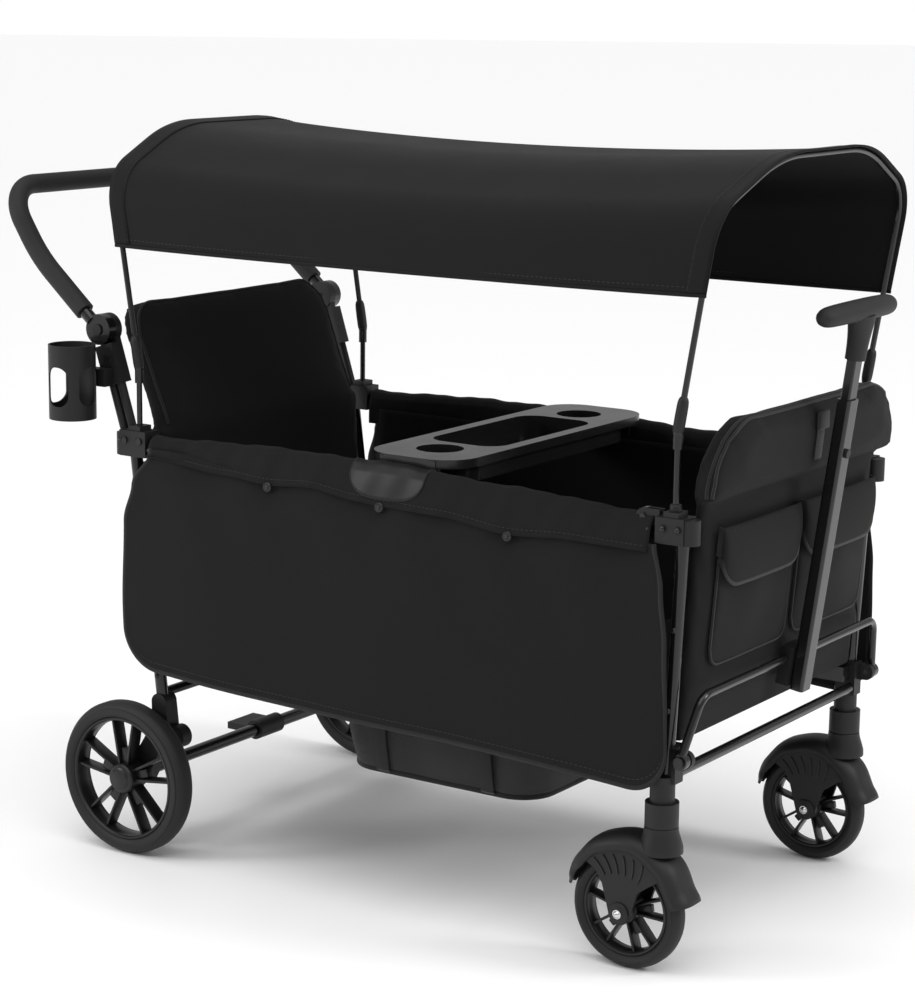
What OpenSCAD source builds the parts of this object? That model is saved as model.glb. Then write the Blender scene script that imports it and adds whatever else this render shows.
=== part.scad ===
// Folding two-seat wagon with a pull handle, a push handle, a snack tray and a canopy.
// +X points to the pull-handle end, +Y to the far side, +Z up. Millimetres.

/* [Frame] */
// Half the distance between the end hinges of the folding floor and rails
half_span = 445; // [440:1:450]
// Half the distance between the leg centres
leg_y = 300; // [298:1:302]
// Height of the floor's hinge line
floor_z = 330; // [325:1:335]
// Height of the side rails' hinge line
rail_z = 680; // [676:1:684]
// Radius of the legs' tube
leg_r = 10; // [8:0.5:11]
// Radius of the side rails' tube
rail_r = 10; // [8:0.5:10]

/* [Wheels] */
// Radius of a rear wheel
rear_wheel_r = 128; // [120:1:130]
// Width of a rear tyre
rear_tyre_w = 43; // [36:1:43]
// Radius of a caster wheel
caster_wheel_r = 90; // [82:1:92]
// Width of a caster tyre
caster_tyre_w = 38; // [30:1:40]
// Distance of a caster wheel's axle behind its stem
caster_trail = 50; // [42:1:54]

/* [Handles] */
// Distance that the pull handle's inner tube stands out of the outer tube
pull_out = 84; // [70:1:100]
// Radius of the push handle's grip
push_grip_r = 16; // [14:0.5:17]
// Length of the pull handle's cross grip
tee_length = 236; // [200:2:250]

/* [Canopy] */
// Height of the canopy's lower edge
canopy_hem_z = 1000; // [980:1:1010]
// Height of the hoops' highest stretch, along their centre line
canopy_top_z = 1187; // [1170:1:1195]
// Radius of the hoop rods
hoop_r = 4.5; // [4:0.5:5]

/* [Soft parts] */
// Thickness of a seat pad
pad_t = 44; // [30:1:50]
// Thickness of the fabric of the sides and flaps
fabric_t = 4; // [3:0.5:5]

/* [Hidden] */
$fn = 48;

// The wagon is drawn about the middle hinge and the plane between its wheels, then placed so
// that the origin lies under the middle of its bounding box.
frame_shift = [73, 21, 0];

NEAR = -1;
FAR = 1;
run_gap = 0.05;
face_gap = 0.4;

// Legs: the rear pair slopes forward on its way down, the front pair slopes back.
rear_leg_top = [-508, leg_y, 668];
rear_leg_foot = [-453, leg_y, 232];
front_leg_top = [505, leg_y, 668];
front_leg_foot = [488, leg_y, 306];

// Corner clamps, each as its outer X, its foot and its top, and the rail pivots in their cheeks
clamp_inner_x = 470;
front_clamp = [532, 646, 692];
rear_clamp = [540, 662, 712];
clamp_bolt_drop = 24;
rail_y = 302;
rail_centre_z = rail_z - rail_r;
ear_t = 8.6;
cheek_t = 5;
pivot_pin_r = 4.5;
hinge_boss_r = 12;
rail_start = 24;

// Floor
board_t = 12;
board_y = 255;
floor_rod_r = 5;
hinge_edge = 10;

// Rear axle and wheels
axle_pos = [-503, 0, rear_wheel_r];
stub_r = 6;
rear_wheel_y = 336;

// Casters
stem_pos = [483, 302, 0];
stem_r = 8;
bell_r = 25;
neck_r = 18.5;
seam_z = 226;
fork_inner = 25;
fork_outer = 33;
fender_r = 120;
wheel_well_r = 96;
caster_axle = [stem_pos[0] - caster_trail, stem_pos[1], caster_wheel_r];
caster_bolt_r = 4;

// Pull handle: the two tubes lie on one line that leans forward
bar_pivot = [519, 315, 331];
bar_r = 6.5;
bar_cross = [534, 285, 424];
pull_base = [548, 0, 374];
pull_lean = 7.6;
outer_tube = [22, 32, 455];
inner_tube = [15.4, 25.4];
inner_hidden = 360;
pull_button_z = 374;

// Push handle
push_pivot = [-574, leg_y, 861];
push_start = [-590, 308, 874];
push_mid = [-702, 308, 970];
push_corner = [-774, 308, 1081];
grip_start = [-606, 308, 887.7];
push_bends = [260, 66, 66, 260];
push_tube_r = 10.5;
knuckle_r = 25;
knuckle_split = 297;
knuckle_lean = -18;
button_r = 9;

// Cup holder
cup_foot = [-585, -364, 722];
cup_h = 120;
cup_ring = 33;

// Hoops stand upright in the clamps and lean outwards above their joint
hoop_foot = [494, 306, 674];
hoop_knee_z = 805;
hoop_lean = 9.3;
shoulder_drop = 74;
shoulder_r = 78;
crown_y = 142;
crown_r = 280;
cuff_r = 7;

// Side flaps: lower edge at the rear, lower edge at the front, top edge
flap_x = 503;
flap_z = [324, 289, 645];
flap_corner_r = 62;

// Tray
tray_x = [-66, 112];
tray_y = 293;
tray_top = 716;
tray_floor = 679;
cup_r = 37;

function unit(v) = v / norm(v);
function turn(p, i) = acos(unit(p[i] - p[i - 1]) * unit(p[i + 1] - p[i]));
function setback(p, bend, i) =
    i == 0 || i == len(p) - 1 ? 0 : bend[i - 1] * tan(turn(p, i) / 2);

module placed() { translate(frame_shift) children(); }

// Draws its children at +Y and mirrored at -Y.
module both() { children(); mirror([0, 1, 0]) children(); }

// Draws its children, which are made at +Y, on the side asked for.
module on_side(side) {
    if (side == FAR) children();
    if (side == NEAR) mirror([0, 1, 0]) children();
}

// A straight round bar from a to b
module bar(a, b, r) {
    d = b - a;
    translate(a) rotate([0, acos(d[2] / norm(d)), atan2(d[1], d[0])]) cylinder(h = norm(d), r = r);
}

// A round tube through the points p, with a bend radius for each inner point. A collar, too
// low to see, joins each bend to its straights.
module bent_tube(p, bend, r) {
    collar = 0.08;
    for (i = [0:len(p) - 2]) {
        u = unit(p[i + 1] - p[i]);
        bar(p[i] + u * setback(p, bend, i), p[i + 1] - u * setback(p, bend, i + 1), r);
    }
    for (i = [1:len(p) - 2]) {
        u = unit(p[i] - p[i - 1]);
        w = unit(p[i + 1] - p[i]);
        side = unit(w - (w * u) * u);
        n = cross(-side, u);
        reach = setback(p, bend, i);
        c = p[i] - u * reach + side * bend[i - 1];
        multmatrix([[-side[0], u[0], n[0], c[0]],
                    [-side[1], u[1], n[1], c[1]],
                    [-side[2], u[2], n[2], c[2]]])
            rotate_extrude(angle = turn(p, i)) translate([bend[i - 1], 0]) circle(r = r);
        bar(p[i] - u * (reach + 0.6), p[i] - u * (reach - 0.6), r + collar);
        bar(p[i] + w * (reach - 0.6), p[i] + w * (reach + 0.6), r + collar);
    }
}

// A round plate with its axis along Y, from y0 to y1
module disc_y(x, z, r, y0, y1) {
    translate([x, y1, z]) rotate([90, 0, 0]) cylinder(h = y1 - y0, r = r);
}

// A flat profile drawn in X and Z, made solid from y0 to y1
module plate_y(y0, y1) {
    translate([0, y1, 0]) rotate([90, 0, 0]) linear_extrude(y1 - y0) children();
}

// A flat profile drawn in Y and Z, made solid from x0 to x1
module plate_x(x0, x1) {
    translate([x0, 0, 0]) rotate([90, 0, 90]) linear_extrude(x1 - x0) children();
}

// A straight link between two round ends
module link2d(a, ra, b, rb) {
    u = (b - a) / norm(b - a);
    n = [-u[1], u[0]];
    translate(a) circle(r = ra);
    translate(b) circle(r = rb);
    polygon([a + n * ra, b + n * rb, b - n * rb, a - n * ra]);
}

// A rectangle with round corners, centred
module round_rect(w, h, r) {
    square([w - 2 * r, h], center = true);
    square([w, h - 2 * r], center = true);
    for (x = [-1, 1], y = [-1, 1]) translate([x * (w / 2 - r), y * (h / 2 - r)]) circle(r = r);
}

// A rectangle from lo to hi with only its upper corners round
module arch_top_rect(lo, hi, r) {
    translate(lo) square([hi[0] - lo[0], hi[1] - lo[1] - r]);
    translate([lo[0] + r, lo[1]]) square([hi[0] - lo[0] - 2 * r, hi[1] - lo[1]]);
    for (x = [lo[0] + r, hi[0] - r]) translate([x, hi[1] - r]) circle(r = r);
}

module box(lo, hi) { translate(lo) cube(hi - lo); }

// ---- rear frame ----

module rear_legs() {
    placed() color("black") both() bar(rear_leg_top, rear_leg_foot, leg_r);
}

module rear_cross_tubes() {
    placed() color("black") {
        bar([-458, -leg_y + 8, 270], [-458, leg_y - 8, 270], 8);
        bar([-505, -leg_y + 8, 640], [-505, leg_y - 8, 640], 8);
    }
}

// Corner clamp for one end of the wagon, made for the far side at +X
module corner_clamp(size) {
    back = size[0] - 16;
    difference() {
        union() {
            box([clamp_inner_x, 286, size[1]], [back, 322, size[2] - 8]);
            translate([back, 304, size[1]]) cylinder(h = 36, r = 16);
            box([hoop_foot[0] - 12, 292, size[2] - 9], [hoop_foot[0] + 12, 320, size[2]]);
            for (y = [rail_y - ear_t / 2 - face_gap - cheek_t, rail_y + ear_t / 2 + face_gap]) {
                box([half_span, y, rail_z - 12], [clamp_inner_x + 1, y + cheek_t, rail_z + 11]);
                disc_y(half_span, rail_z, hinge_boss_r, y, y + cheek_t);
            }
        }
        translate([hoop_foot[0], hoop_foot[1], hoop_foot[2] - 2])
            cylinder(h = 50, r = hoop_r + 0.1);
        disc_y(half_span, rail_z, pivot_pin_r, 280, 330);
    }
}

module rear_clamps() {
    placed() color("dimgray") both() mirror([1, 0, 0]) corner_clamp(rear_clamp);
}

module rear_axle() {
    placed() color("black") {
        bar(axle_pos - [0, 284, 0], axle_pos + [0, 284, 0], 11);
        bar(axle_pos - [0, 356, 0], axle_pos + [0, 356, 0], stub_r);
    }
}

module rear_brackets() {
    placed() color("dimgray") both() difference() {
        union() {
            plate_y(284, 312) {
                link2d([-456, 256], 15, [-453, 214], 17);
                link2d([-453, 214], 17, [axle_pos[0], axle_pos[2]], 21);
            }
            disc_y(-428, 200, 19, 284, 306);
        }
        disc_y(axle_pos[0], axle_pos[2], stub_r, 280, 320);
    }
}

// Lug that carries an end hinge of the floor, made for the far side at +X
module floor_lug(leg_x, reach_y) {
    difference() {
        union() {
            box([half_span, 262, floor_z - 12], [leg_x, 270, floor_z + 12]);
            disc_y(half_span, floor_z, 11, 262, 270);
            box([leg_x - 8, 262, floor_z - 12], [leg_x + 6, reach_y, floor_z + 12]);
        }
        disc_y(half_span, floor_z, floor_rod_r + run_gap, 250, 275);
    }
}

module rear_hinge_lugs() {
    placed() color("black") both() mirror([1, 0, 0]) floor_lug(465, 291);
}

// Knuckle under the push handle's pivot, with the pair of tubes that stands in the clamp
module push_knuckles() {
    placed() color("dimgray") both() {
        disc_y(push_pivot[0], push_pivot[2], knuckle_r, 283, knuckle_split - face_gap / 2);
        translate(push_pivot) rotate([0, knuckle_lean, 0]) {
            difference() {
                translate([-18, -15, -92]) cube([36, 26, 92]);
                translate([-60, -3 - face_gap / 2, 1 - knuckle_r - 2])
                    cube([120, 40, knuckle_r + 10]);
            }
            for (x = [-9, 9]) translate([x, 0, -180]) cylinder(h = 90, r = 7);
        }
    }
}

module rear_fasteners() {
    placed() color("silver") both() {
        disc_y(-half_span, rail_z, pivot_pin_r, 289, 315);
        disc_y(push_pivot[0], push_pivot[2], 4, 280, 303.5);
        for (x = [-512, -482]) disc_y(x, rear_clamp[2] - clamp_bolt_drop, 5, 322, 325);
        for (s = [48, 74])
            disc_y(push_pivot[0] + s * sin(-knuckle_lean), push_pivot[2] - s * cos(knuckle_lean),
                   4.5, 311, 313);
        disc_y(axle_pos[0], axle_pos[2], 9, 356, 360);
    }
}

// Open cup on the near side of the push handle's knuckle
module cup_holder() {
    placed() color("dimgray") difference() {
        union() {
            translate(cup_foot) cylinder(h = cup_h, r = 38);
            box([-580, -332, cup_foot[2] + 50], [-545, -311.5, cup_foot[2] + 78]);
        }
        translate(cup_foot + [0, 0, cup_h - cup_ring]) cylinder(h = cup_ring + 1, r = 35);
        translate(cup_foot + [0, 0, 4]) cylinder(h = cup_h - cup_ring - 4, r = 35.6);
        for (a = [-90, 0, 180]) translate(cup_foot + [0, 0, 54]) rotate([0, 0, a])
            rotate([0, 90, 0]) translate([0, 0, 20]) linear_extrude(30) round_rect(64, 40, 18);
    }
}

module rear_backrest() {
    placed() color("black") intersection() {
        plate_y(-270, 270) polygon([[-480, 345], [-462, 345], [-470, 700], [-561, 905],
                                    [-597, 892], [-508, 700], [-493, 690]]);
        union() {
            plate_x(-620, -440) translate([-270, 345]) square([540, 360]);
            plate_x(-620, -440) arch_top_rect([-256, 700], [256, 904], 60);
        }
    }
}

module tub_sides() {
    placed() color("black") both() {
        box([-half_span + 8, 276, 346], [half_span - 8, 276 + fabric_t, 650]);
        box([-430, 276, 648], [430, 285.5, 652]);
    }
}

// Outer flap with round lower corners and a lower edge that drops towards the front, made for
// the far side
module side_flap() {
    r = flap_corner_r;
    plate_y(322, 322 + fabric_t)
        polygon(concat([[-flap_x, flap_z[2]]],
                       arc([r - flap_x, flap_z[0] + r], r, 180, 270, 8),
                       arc([flap_x - r, flap_z[1] + r], r, 270, 360, 8), [[flap_x, flap_z[2]]]));
}

module side_flap_near() {
    placed() color("black") on_side(NEAR) side_flap();
}

module side_flap_far() {
    placed() color("black") on_side(FAR) side_flap();
}

// Mesh basket, open at the top, that hangs under the floor
module storage_basket() {
    placed() color("black") difference() {
        translate([10, 0, 176]) linear_extrude(142) round_rect(390, 400, 45);
        translate([10, 0, 180]) linear_extrude(150) round_rect(382, 392, 41);
    }
}

// ---- floor ----

// Half of the floor, made for the +X side, with knuckles on its middle hinge
module floor_half(knuckles) {
    difference() {
        union() {
            box([hinge_edge, -board_y, floor_z], [half_span - 8, board_y, floor_z + board_t]);
            for (k = knuckles) {
                disc_y(0, floor_z, 8, k[0], k[1]);
                box([0, k[0], floor_z], [hinge_edge + 1, k[1], floor_z + 8]);
            }
            for (y = [-250, 200]) {
                disc_y(half_span, floor_z, 8, y, y + 50);
                box([half_span - 12, y, floor_z], [half_span, y + 50, floor_z + 8]);
            }
        }
        disc_y(0, floor_z, 4 + run_gap, -260, 260);
        disc_y(half_span, floor_z, floor_rod_r, -260, 260);
    }
}

module floor_board_rear() {
    placed() color("dimgray") mirror([1, 0, 0])
        floor_half([[-250, -151], [-49, 49], [151, 250]]);
}

module floor_board_front() {
    placed() color("dimgray") {
        floor_half([[-150, -50], [50, 150]]);
        disc_y(half_span, floor_z, floor_rod_r, -274, 274);
    }
}

module floor_pins() {
    placed() color("silver") {
        disc_y(0, floor_z, 4, -252, 252);
        disc_y(-half_span, floor_z, floor_rod_r, -274, 274);
    }
}

// Seat pad for the +X end
module seat_pad() {
    translate([305, 0, floor_z + board_t + 0.4]) linear_extrude(pad_t) round_rect(246, 500, 30);
}

module seat_pad_rear() {
    placed() color("black") mirror([1, 0, 0]) seat_pad();
}

module seat_pad_front() {
    placed() color("black") seat_pad();
}

// ---- side rails ----

// An ear, or with two cheeks a fork, around the hinge pin at x
module rail_end(x, towards, cheeks, bore) {
    inner = ear_t / 2 + face_gap;
    spans = cheeks ? [[-inner - cheek_t, -inner], [inner, inner + cheek_t]]
                   : [[-ear_t / 2, ear_t / 2]];
    difference() {
        for (s = spans) {
            disc_y(x, rail_z, hinge_boss_r, rail_y + s[0], rail_y + s[1]);
            box([min(x, x + towards * 34), rail_y + s[0], rail_z - hinge_boss_r],
                [max(x, x + towards * 34), rail_y + s[1], rail_z + 4]);
        }
        disc_y(x, rail_z, bore, rail_y - 20, rail_y + 20);
    }
}

module rail_tube() {
    bar([rail_start, rail_y, rail_centre_z], [half_span - rail_start, rail_y, rail_centre_z],
        rail_r);
}

module side_rails_rear() {
    placed() color("black") both() {
        mirror([1, 0, 0]) rail_tube();
        rail_end(-half_span, 1, false, pivot_pin_r + run_gap);
        rail_end(0, -1, false, pivot_pin_r);
    }
}

module side_rails_front() {
    placed() color("black") both() {
        rail_tube();
        rail_end(0, 1, true, pivot_pin_r + run_gap);
        rail_end(half_span, -1, false, pivot_pin_r + 0.8);
    }
}

// Padded sleeve on a half rail, made for the +X side
module rail_sleeve() {
    difference() {
        bar([58, rail_y, rail_centre_z], [half_span - 58, rail_y, rail_centre_z], 15.5);
        bar([40, rail_y, rail_centre_z], [half_span - 40, rail_y, rail_centre_z], rail_r);
    }
}

module rail_sleeves_rear() {
    placed() color("black") both() mirror([1, 0, 0]) rail_sleeve();
}

module rail_sleeves_front() {
    placed() color("black") both() rail_sleeve();
}

module rail_hinge_pins() {
    placed() color("silver") both() disc_y(0, rail_z, pivot_pin_r, 291, 313);
}

// ---- front frame ----

module front_legs() {
    placed() color("black") both() bar(front_leg_top, front_leg_foot, leg_r);
}

module front_cross_tubes() {
    placed() color("black") {
        bar([497, -284, 304], [497, 284, 304], 8);
        bar([504, -leg_y + 8, 645], [504, leg_y - 8, 645], 8);
    }
}

module front_clamps() {
    placed() color("dimgray") both() corner_clamp(front_clamp);
}

// Bracket at the foot of a front leg, with the bell that takes the caster's stem
module caster_sockets() {
    placed() color("dimgray") both() difference() {
        union() {
            box([472, 284, 292], [506, 308, 346]);
            translate([stem_pos[0], stem_pos[1], 262]) cylinder(h = 40, r = neck_r);
            translate([stem_pos[0], stem_pos[1], seam_z + face_gap])
                cylinder(h = 36, r = bell_r);
            plate_y(296, 305.5) link2d([490, 331], 14, [bar_pivot[0], bar_pivot[2]], 13);
        }
        translate([stem_pos[0], stem_pos[1], seam_z - 1]) cylinder(h = 62, r = stem_r + run_gap);
        disc_y(bar_pivot[0], bar_pivot[2], 4, 290, 312);
    }
}

module front_hinge_lugs() {
    placed() color("black") both() floor_lug(490, 284);
}

module front_fasteners() {
    placed() color("silver") both() {
        disc_y(half_span, rail_z, pivot_pin_r, 289, 315);
        for (x = [482, 506]) disc_y(x, front_clamp[2] - clamp_bolt_drop, 5, 322, 325);
        disc_y(bar_pivot[0], bar_pivot[2], 4, 296, 321);
        disc_y(bar_pivot[0], bar_pivot[2], 8, 321, 325);
        disc_y(488, 322, 4.5, 309, 311);
    }
}

module front_backrest() {
    placed() color("black") difference() {
        intersection() {
            plate_y(-295, 295) polygon([[479, 345], [499, 345], [527, 705], [549, 705],
                                        [560, 826], [521, 826], [509, 705]]);
            union() {
                plate_x(470, 580) translate([-281, 345]) square([562, 361]);
                plate_x(470, 580) intersection() {
                    arch_top_rect([-295, 704], [295, 826], 110);
                    translate([-300, 704]) square([600, 130]);
                }
            }
        }
        disc_y(504, 645, 8.4, -300, 300);
    }
}

// Two flat pockets on the outside of the front panel, with their flaps
module front_pockets() {
    placed() color("black") both() {
        translate([514.8, 0, 542]) rotate([0, 4.4, 0]) {
            plate_x(0, 14) translate([44, -45]) square([226, 150]);
            plate_x(14, 20) translate([36, 75]) square([240, 50]);
        }
    }
}

// ---- casters ----

// Fork with a hood over the wheel, made for the far side
module fork() {
    difference() {
        union() {
            translate([caster_axle[0], caster_axle[1], caster_axle[2]]) rotate([90, 0, 0])
                rotate([0, 0, 38]) rotate_extrude(angle = 110) difference() {
                    translate([wheel_well_r, -fork_inner - 4])
                        square([fender_r - wheel_well_r, 2 * fork_inner + 8]);
                    translate([wheel_well_r - 5, -fork_inner])
                        square([fender_r - wheel_well_r, 2 * fork_inner]);
                }
            for (y = [stem_pos[1] - fork_outer, stem_pos[1] + fork_inner])
                plate_y(y, y + fork_outer - fork_inner)
                    link2d([caster_axle[0], caster_axle[2]], 21, [caster_axle[0] + 18, 170], 33);
            translate([stem_pos[0], stem_pos[1], 196]) cylinder(h = seam_z - 196, r = bell_r);
        }
        translate([stem_pos[0], stem_pos[1], 196]) cylinder(h = 40, r = stem_r);
        disc_y(caster_axle[0], caster_axle[2], caster_bolt_r, 250, 350);
    }
}

module caster_pins() {
    translate([stem_pos[0], stem_pos[1], 198]) cylinder(h = 86, r = stem_r);
    disc_y(caster_axle[0], caster_axle[2], caster_bolt_r, stem_pos[1] - fork_outer,
           stem_pos[1] + fork_outer);
    for (y = [stem_pos[1] - fork_outer - 4, stem_pos[1] + fork_outer])
        disc_y(caster_axle[0], caster_axle[2], 7, y, y + 4);
}

// Spoked rim: ring, hub and spokes in pairs, about the origin with its axis along Y
module rim(outer_r, ring_t, width, hub_r, hub_w, bore_r, spokes, spoke_t, spread) {
    rotate([90, 0, 0]) {
        rotate_extrude() translate([outer_r - ring_t, -width / 2]) square([ring_t, width]);
        difference() {
            union() {
                cylinder(h = hub_w, r = hub_r, center = true);
                for (i = [0:spokes - 1], s = [-1, 1]) rotate([0, 0, i * 360 / spokes])
                    translate([hub_r - 5, s * spread - spoke_t / 2, -width * 0.3])
                        cube([outer_r - ring_t - hub_r + 7, spoke_t, width * 0.6]);
            }
            cylinder(h = hub_w + 2, r = bore_r, center = true);
        }
    }
}

// Tyre with rounded shoulders, about the origin with its axis along Y
module tyre(outer_r, inner_r, width) {
    shoulder = 8;
    rotate([90, 0, 0]) rotate_extrude() {
        translate([(outer_r - shoulder + inner_r) / 2, 0])
            square([outer_r - shoulder - inner_r, width], center = true);
        translate([outer_r - shoulder / 2 - 0.01, 0])
            square([shoulder, width - 2 * shoulder], center = true);
        for (s = [-1, 1]) translate([outer_r - shoulder, s * (width / 2 - shoulder)])
            circle(r = shoulder);
    }
}

module caster_rim() {
    translate(caster_axle)
        rim(70, 6, caster_tyre_w - 6, 14, 2 * fork_inner - 2, caster_bolt_r + run_gap, 5, 4, 5.5);
}

module caster_tyre() {
    translate(caster_axle) tyre(caster_wheel_r, 70, caster_tyre_w);
}

module rear_rim() {
    translate([axle_pos[0], rear_wheel_y, axle_pos[2]])
        rim(102, 7, rear_tyre_w - 8, 22, rear_tyre_w - 4, stub_r + run_gap, 5, 5, 9.5);
}

module rear_tyre() {
    translate([axle_pos[0], rear_wheel_y, axle_pos[2]]) tyre(rear_wheel_r, 102, rear_tyre_w);
}

module fork_near() { placed() color("dimgray") on_side(NEAR) fork(); }
module fork_far() { placed() color("dimgray") on_side(FAR) fork(); }
module caster_pins_near() { placed() color("silver") on_side(NEAR) caster_pins(); }
module caster_pins_far() { placed() color("silver") on_side(FAR) caster_pins(); }
module caster_rim_near() { placed() color("dimgray") on_side(NEAR) caster_rim(); }
module caster_rim_far() { placed() color("dimgray") on_side(FAR) caster_rim(); }
module caster_tyre_near() { placed() color("black") on_side(NEAR) caster_tyre(); }
module caster_tyre_far() { placed() color("black") on_side(FAR) caster_tyre(); }
module rear_rim_near() { placed() color("dimgray") on_side(NEAR) rear_rim(); }
module rear_rim_far() { placed() color("dimgray") on_side(FAR) rear_rim(); }
module rear_tyre_near() { placed() color("black") on_side(NEAR) rear_tyre(); }
module rear_tyre_far() { placed() color("black") on_side(FAR) rear_tyre(); }

// ---- pull handle ----

module pull_u_bar() {
    low = [bar_pivot[0] + 1, bar_pivot[1], bar_pivot[2] + 8];
    placed() color("black") {
        bent_tube([[low[0], -low[1], low[2]], [bar_cross[0], -bar_cross[1], bar_cross[2]],
                   bar_cross, low], [30, 30], bar_r);
        both() difference() {
            disc_y(bar_pivot[0], bar_pivot[2], 12, 308.6, 320.6);
            disc_y(bar_pivot[0], bar_pivot[2], 4 + run_gap, 300, 330);
        }
    }
}

// Puts its children on the pull handle's line, with Z along it
module on_pull_line() { translate(pull_base) rotate([0, pull_lean, 0]) children(); }

module pull_outer_tube() {
    placed() color("black") on_pull_line() difference() {
        linear_extrude(outer_tube[2]) round_rect(outer_tube[0], outer_tube[1], 5);
        translate([0, 0, -1]) linear_extrude(outer_tube[2] + 2)
            round_rect(inner_tube[0] + 0.6, inner_tube[1] + 0.6, 3.3);
        translate([6, 0, pull_button_z]) rotate([0, 90, 0]) cylinder(h = 10, r = 7.3);
    }
}

// Block behind the outer tube that clamps the U-bar
module pull_foot_bracket() {
    placed() color("dimgray") difference() {
        on_pull_line() box([-31, -24, 6], [-11, 24, 66]);
        disc_y(bar_cross[0], bar_cross[2], bar_r, -40, 40);
    }
}

module pull_button() {
    placed() color("dimgray") on_pull_line() translate([9.6, 0, pull_button_z])
        rotate([0, 90, 0]) cylinder(h = 5.8, r = 7);
}

module pull_inner_tube() {
    placed() color("black") on_pull_line()
        translate([0, 0, outer_tube[2] - inner_hidden])
            linear_extrude(inner_hidden + pull_out) round_rect(inner_tube[0], inner_tube[1], 3);
}

// Cross grip on a tapered neck
module tee_grip() {
    top = outer_tube[2] + pull_out;
    placed() color("dimgray") on_pull_line() {
        difference() {
            translate([0, 0, top - 24]) linear_extrude(70) round_rect(23, 33, 6);
            translate([0, 0, top - 25]) linear_extrude(25) round_rect(inner_tube[0],
                                                                      inner_tube[1], 3);
        }
        bent_tube([[4, -tee_length / 2, top + 44], [0, 0, top + 53],
                   [4, tee_length / 2, top + 44]], [150], 15);
    }
}

// ---- push handle ----

// The handle's line, from one arm's start round the cross bar to the other's
function push_line(start) =
    let (far = [start, push_mid, push_corner])
    concat([for (p = far) [p[0], -p[1], p[2]]], [for (i = [2:-1:0]) far[i]]);

module push_handle_tube() {
    placed() color("black") {
        bent_tube(push_line(push_start), push_bends, push_tube_r);
        both() difference() {
            disc_y(push_pivot[0], push_pivot[2], knuckle_r, knuckle_split + face_gap / 2, 314);
            disc_y(push_pivot[0], push_pivot[2], 4 + run_gap, 290, 310);
            disc_y(push_pivot[0], push_pivot[2], button_r + 0.3, 306, 320);
        }
    }
}

module push_grip() {
    placed() color("black") difference() {
        bent_tube(push_line(grip_start), push_bends, push_grip_r);
        bent_tube(push_line(push_start), push_bends, push_tube_r);
    }
}

module handle_button() { disc_y(push_pivot[0], push_pivot[2], button_r, 310, 317); }

module handle_button_near() { placed() color("dimgray") on_side(NEAR) handle_button(); }
module handle_button_far() { placed() color("dimgray") on_side(FAR) handle_button(); }

module brake_pedal() {
    placed() color("dimgray") difference() {
        union() {
            disc_y(axle_pos[0], axle_pos[2], 17, 0, 64);
            box([-560, -4, 122], [-512, 68, 134]);
        }
        disc_y(axle_pos[0], axle_pos[2], 11 + run_gap, -10, 80);
    }
}

// ---- tray and canopy ----

module tray() {
    mid_x = (tray_x[0] + tray_x[1]) / 2;
    width = tray_x[1] - tray_x[0];
    placed() color("gray") difference() {
        union() {
            translate([mid_x, 0, tray_top - 14]) linear_extrude(14)
                round_rect(width, 2 * tray_y, 56);
            translate([mid_x, 0, tray_floor - 4]) linear_extrude(36)
                round_rect(width - 30, 500, 44);
            for (y = [-tray_y, tray_y - 14])
                box([mid_x - 51, y, rail_z + hinge_boss_r + 0.6], [mid_x + 51, y + 14, tray_top - 2]);
        }
        translate([mid_x, 0, tray_floor]) linear_extrude(50) round_rect(width - 44, 300, 36);
        for (y = [-205, 205]) translate([mid_x, y, tray_floor]) cylinder(h = 50, r = cup_r);
    }
}

// Hoop for the +X end: upright in the clamps, then an arch that leans outwards
module hoop_rod() {
    side = hoop_foot[1];
    top = canopy_top_z - hoop_knee_z;
    low = top - shoulder_drop;
    translate([hoop_foot[0], 0, hoop_knee_z]) rotate([0, hoop_lean, 0])
        bent_tube([[0, -side, 0], [0, -side, low], [0, -crown_y, top], [0, crown_y, top],
                   [0, side, low], [0, side, 0]],
                  [shoulder_r, crown_r, crown_r, shoulder_r], hoop_r);
    both() bar(hoop_foot, [hoop_foot[0], hoop_foot[1], hoop_knee_z + 2], hoop_r);
}

// Plastic joint where the upright of a hoop meets its arch
module hoop_cuff() {
    bar([hoop_foot[0], hoop_foot[1], hoop_knee_z - 24], [hoop_foot[0], hoop_foot[1], hoop_knee_z],
        cuff_r);
    translate([hoop_foot[0], hoop_foot[1], hoop_knee_z]) sphere(r = cuff_r + 0.6);
    translate([hoop_foot[0], 0, hoop_knee_z]) rotate([0, hoop_lean, 0])
        bar([0, hoop_foot[1], 0], [0, hoop_foot[1], 20], cuff_r);
}

module canopy_hoop() {
    hoop_rod();
    both() hoop_cuff();
}

module canopy_hoop_rear() {
    placed() color("black") mirror([1, 0, 0]) canopy_hoop();
}

module canopy_hoop_front() {
    placed() color("black") canopy_hoop();
}

// Points along an arc about c
function arc(c, r, a0, a1, n) =
    [for (i = [0:n]) c + r * [cos(a0 + (a1 - a0) * i / n), sin(a0 + (a1 - a0) * i / n)]];

// Half of the arch's outline in Y and local Z, at a distance out from the rod's centre line
function half_arch(out, low) =
    let (slope = atan2(shoulder_drop, hoop_foot[1] - crown_y),
         top = canopy_top_z - hoop_knee_z,
         c1 = [hoop_foot[1] - shoulder_r, top - shoulder_drop - shoulder_r * tan(45 - slope / 2)],
         c2 = [crown_y - crown_r * tan(slope / 2), top - crown_r])
    concat([[hoop_foot[1] + out, low]], arc(c1, shoulder_r + out, 0, 90 - slope, 8),
           arc(c2, crown_r + out, 90 - slope, 90, 6));

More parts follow.
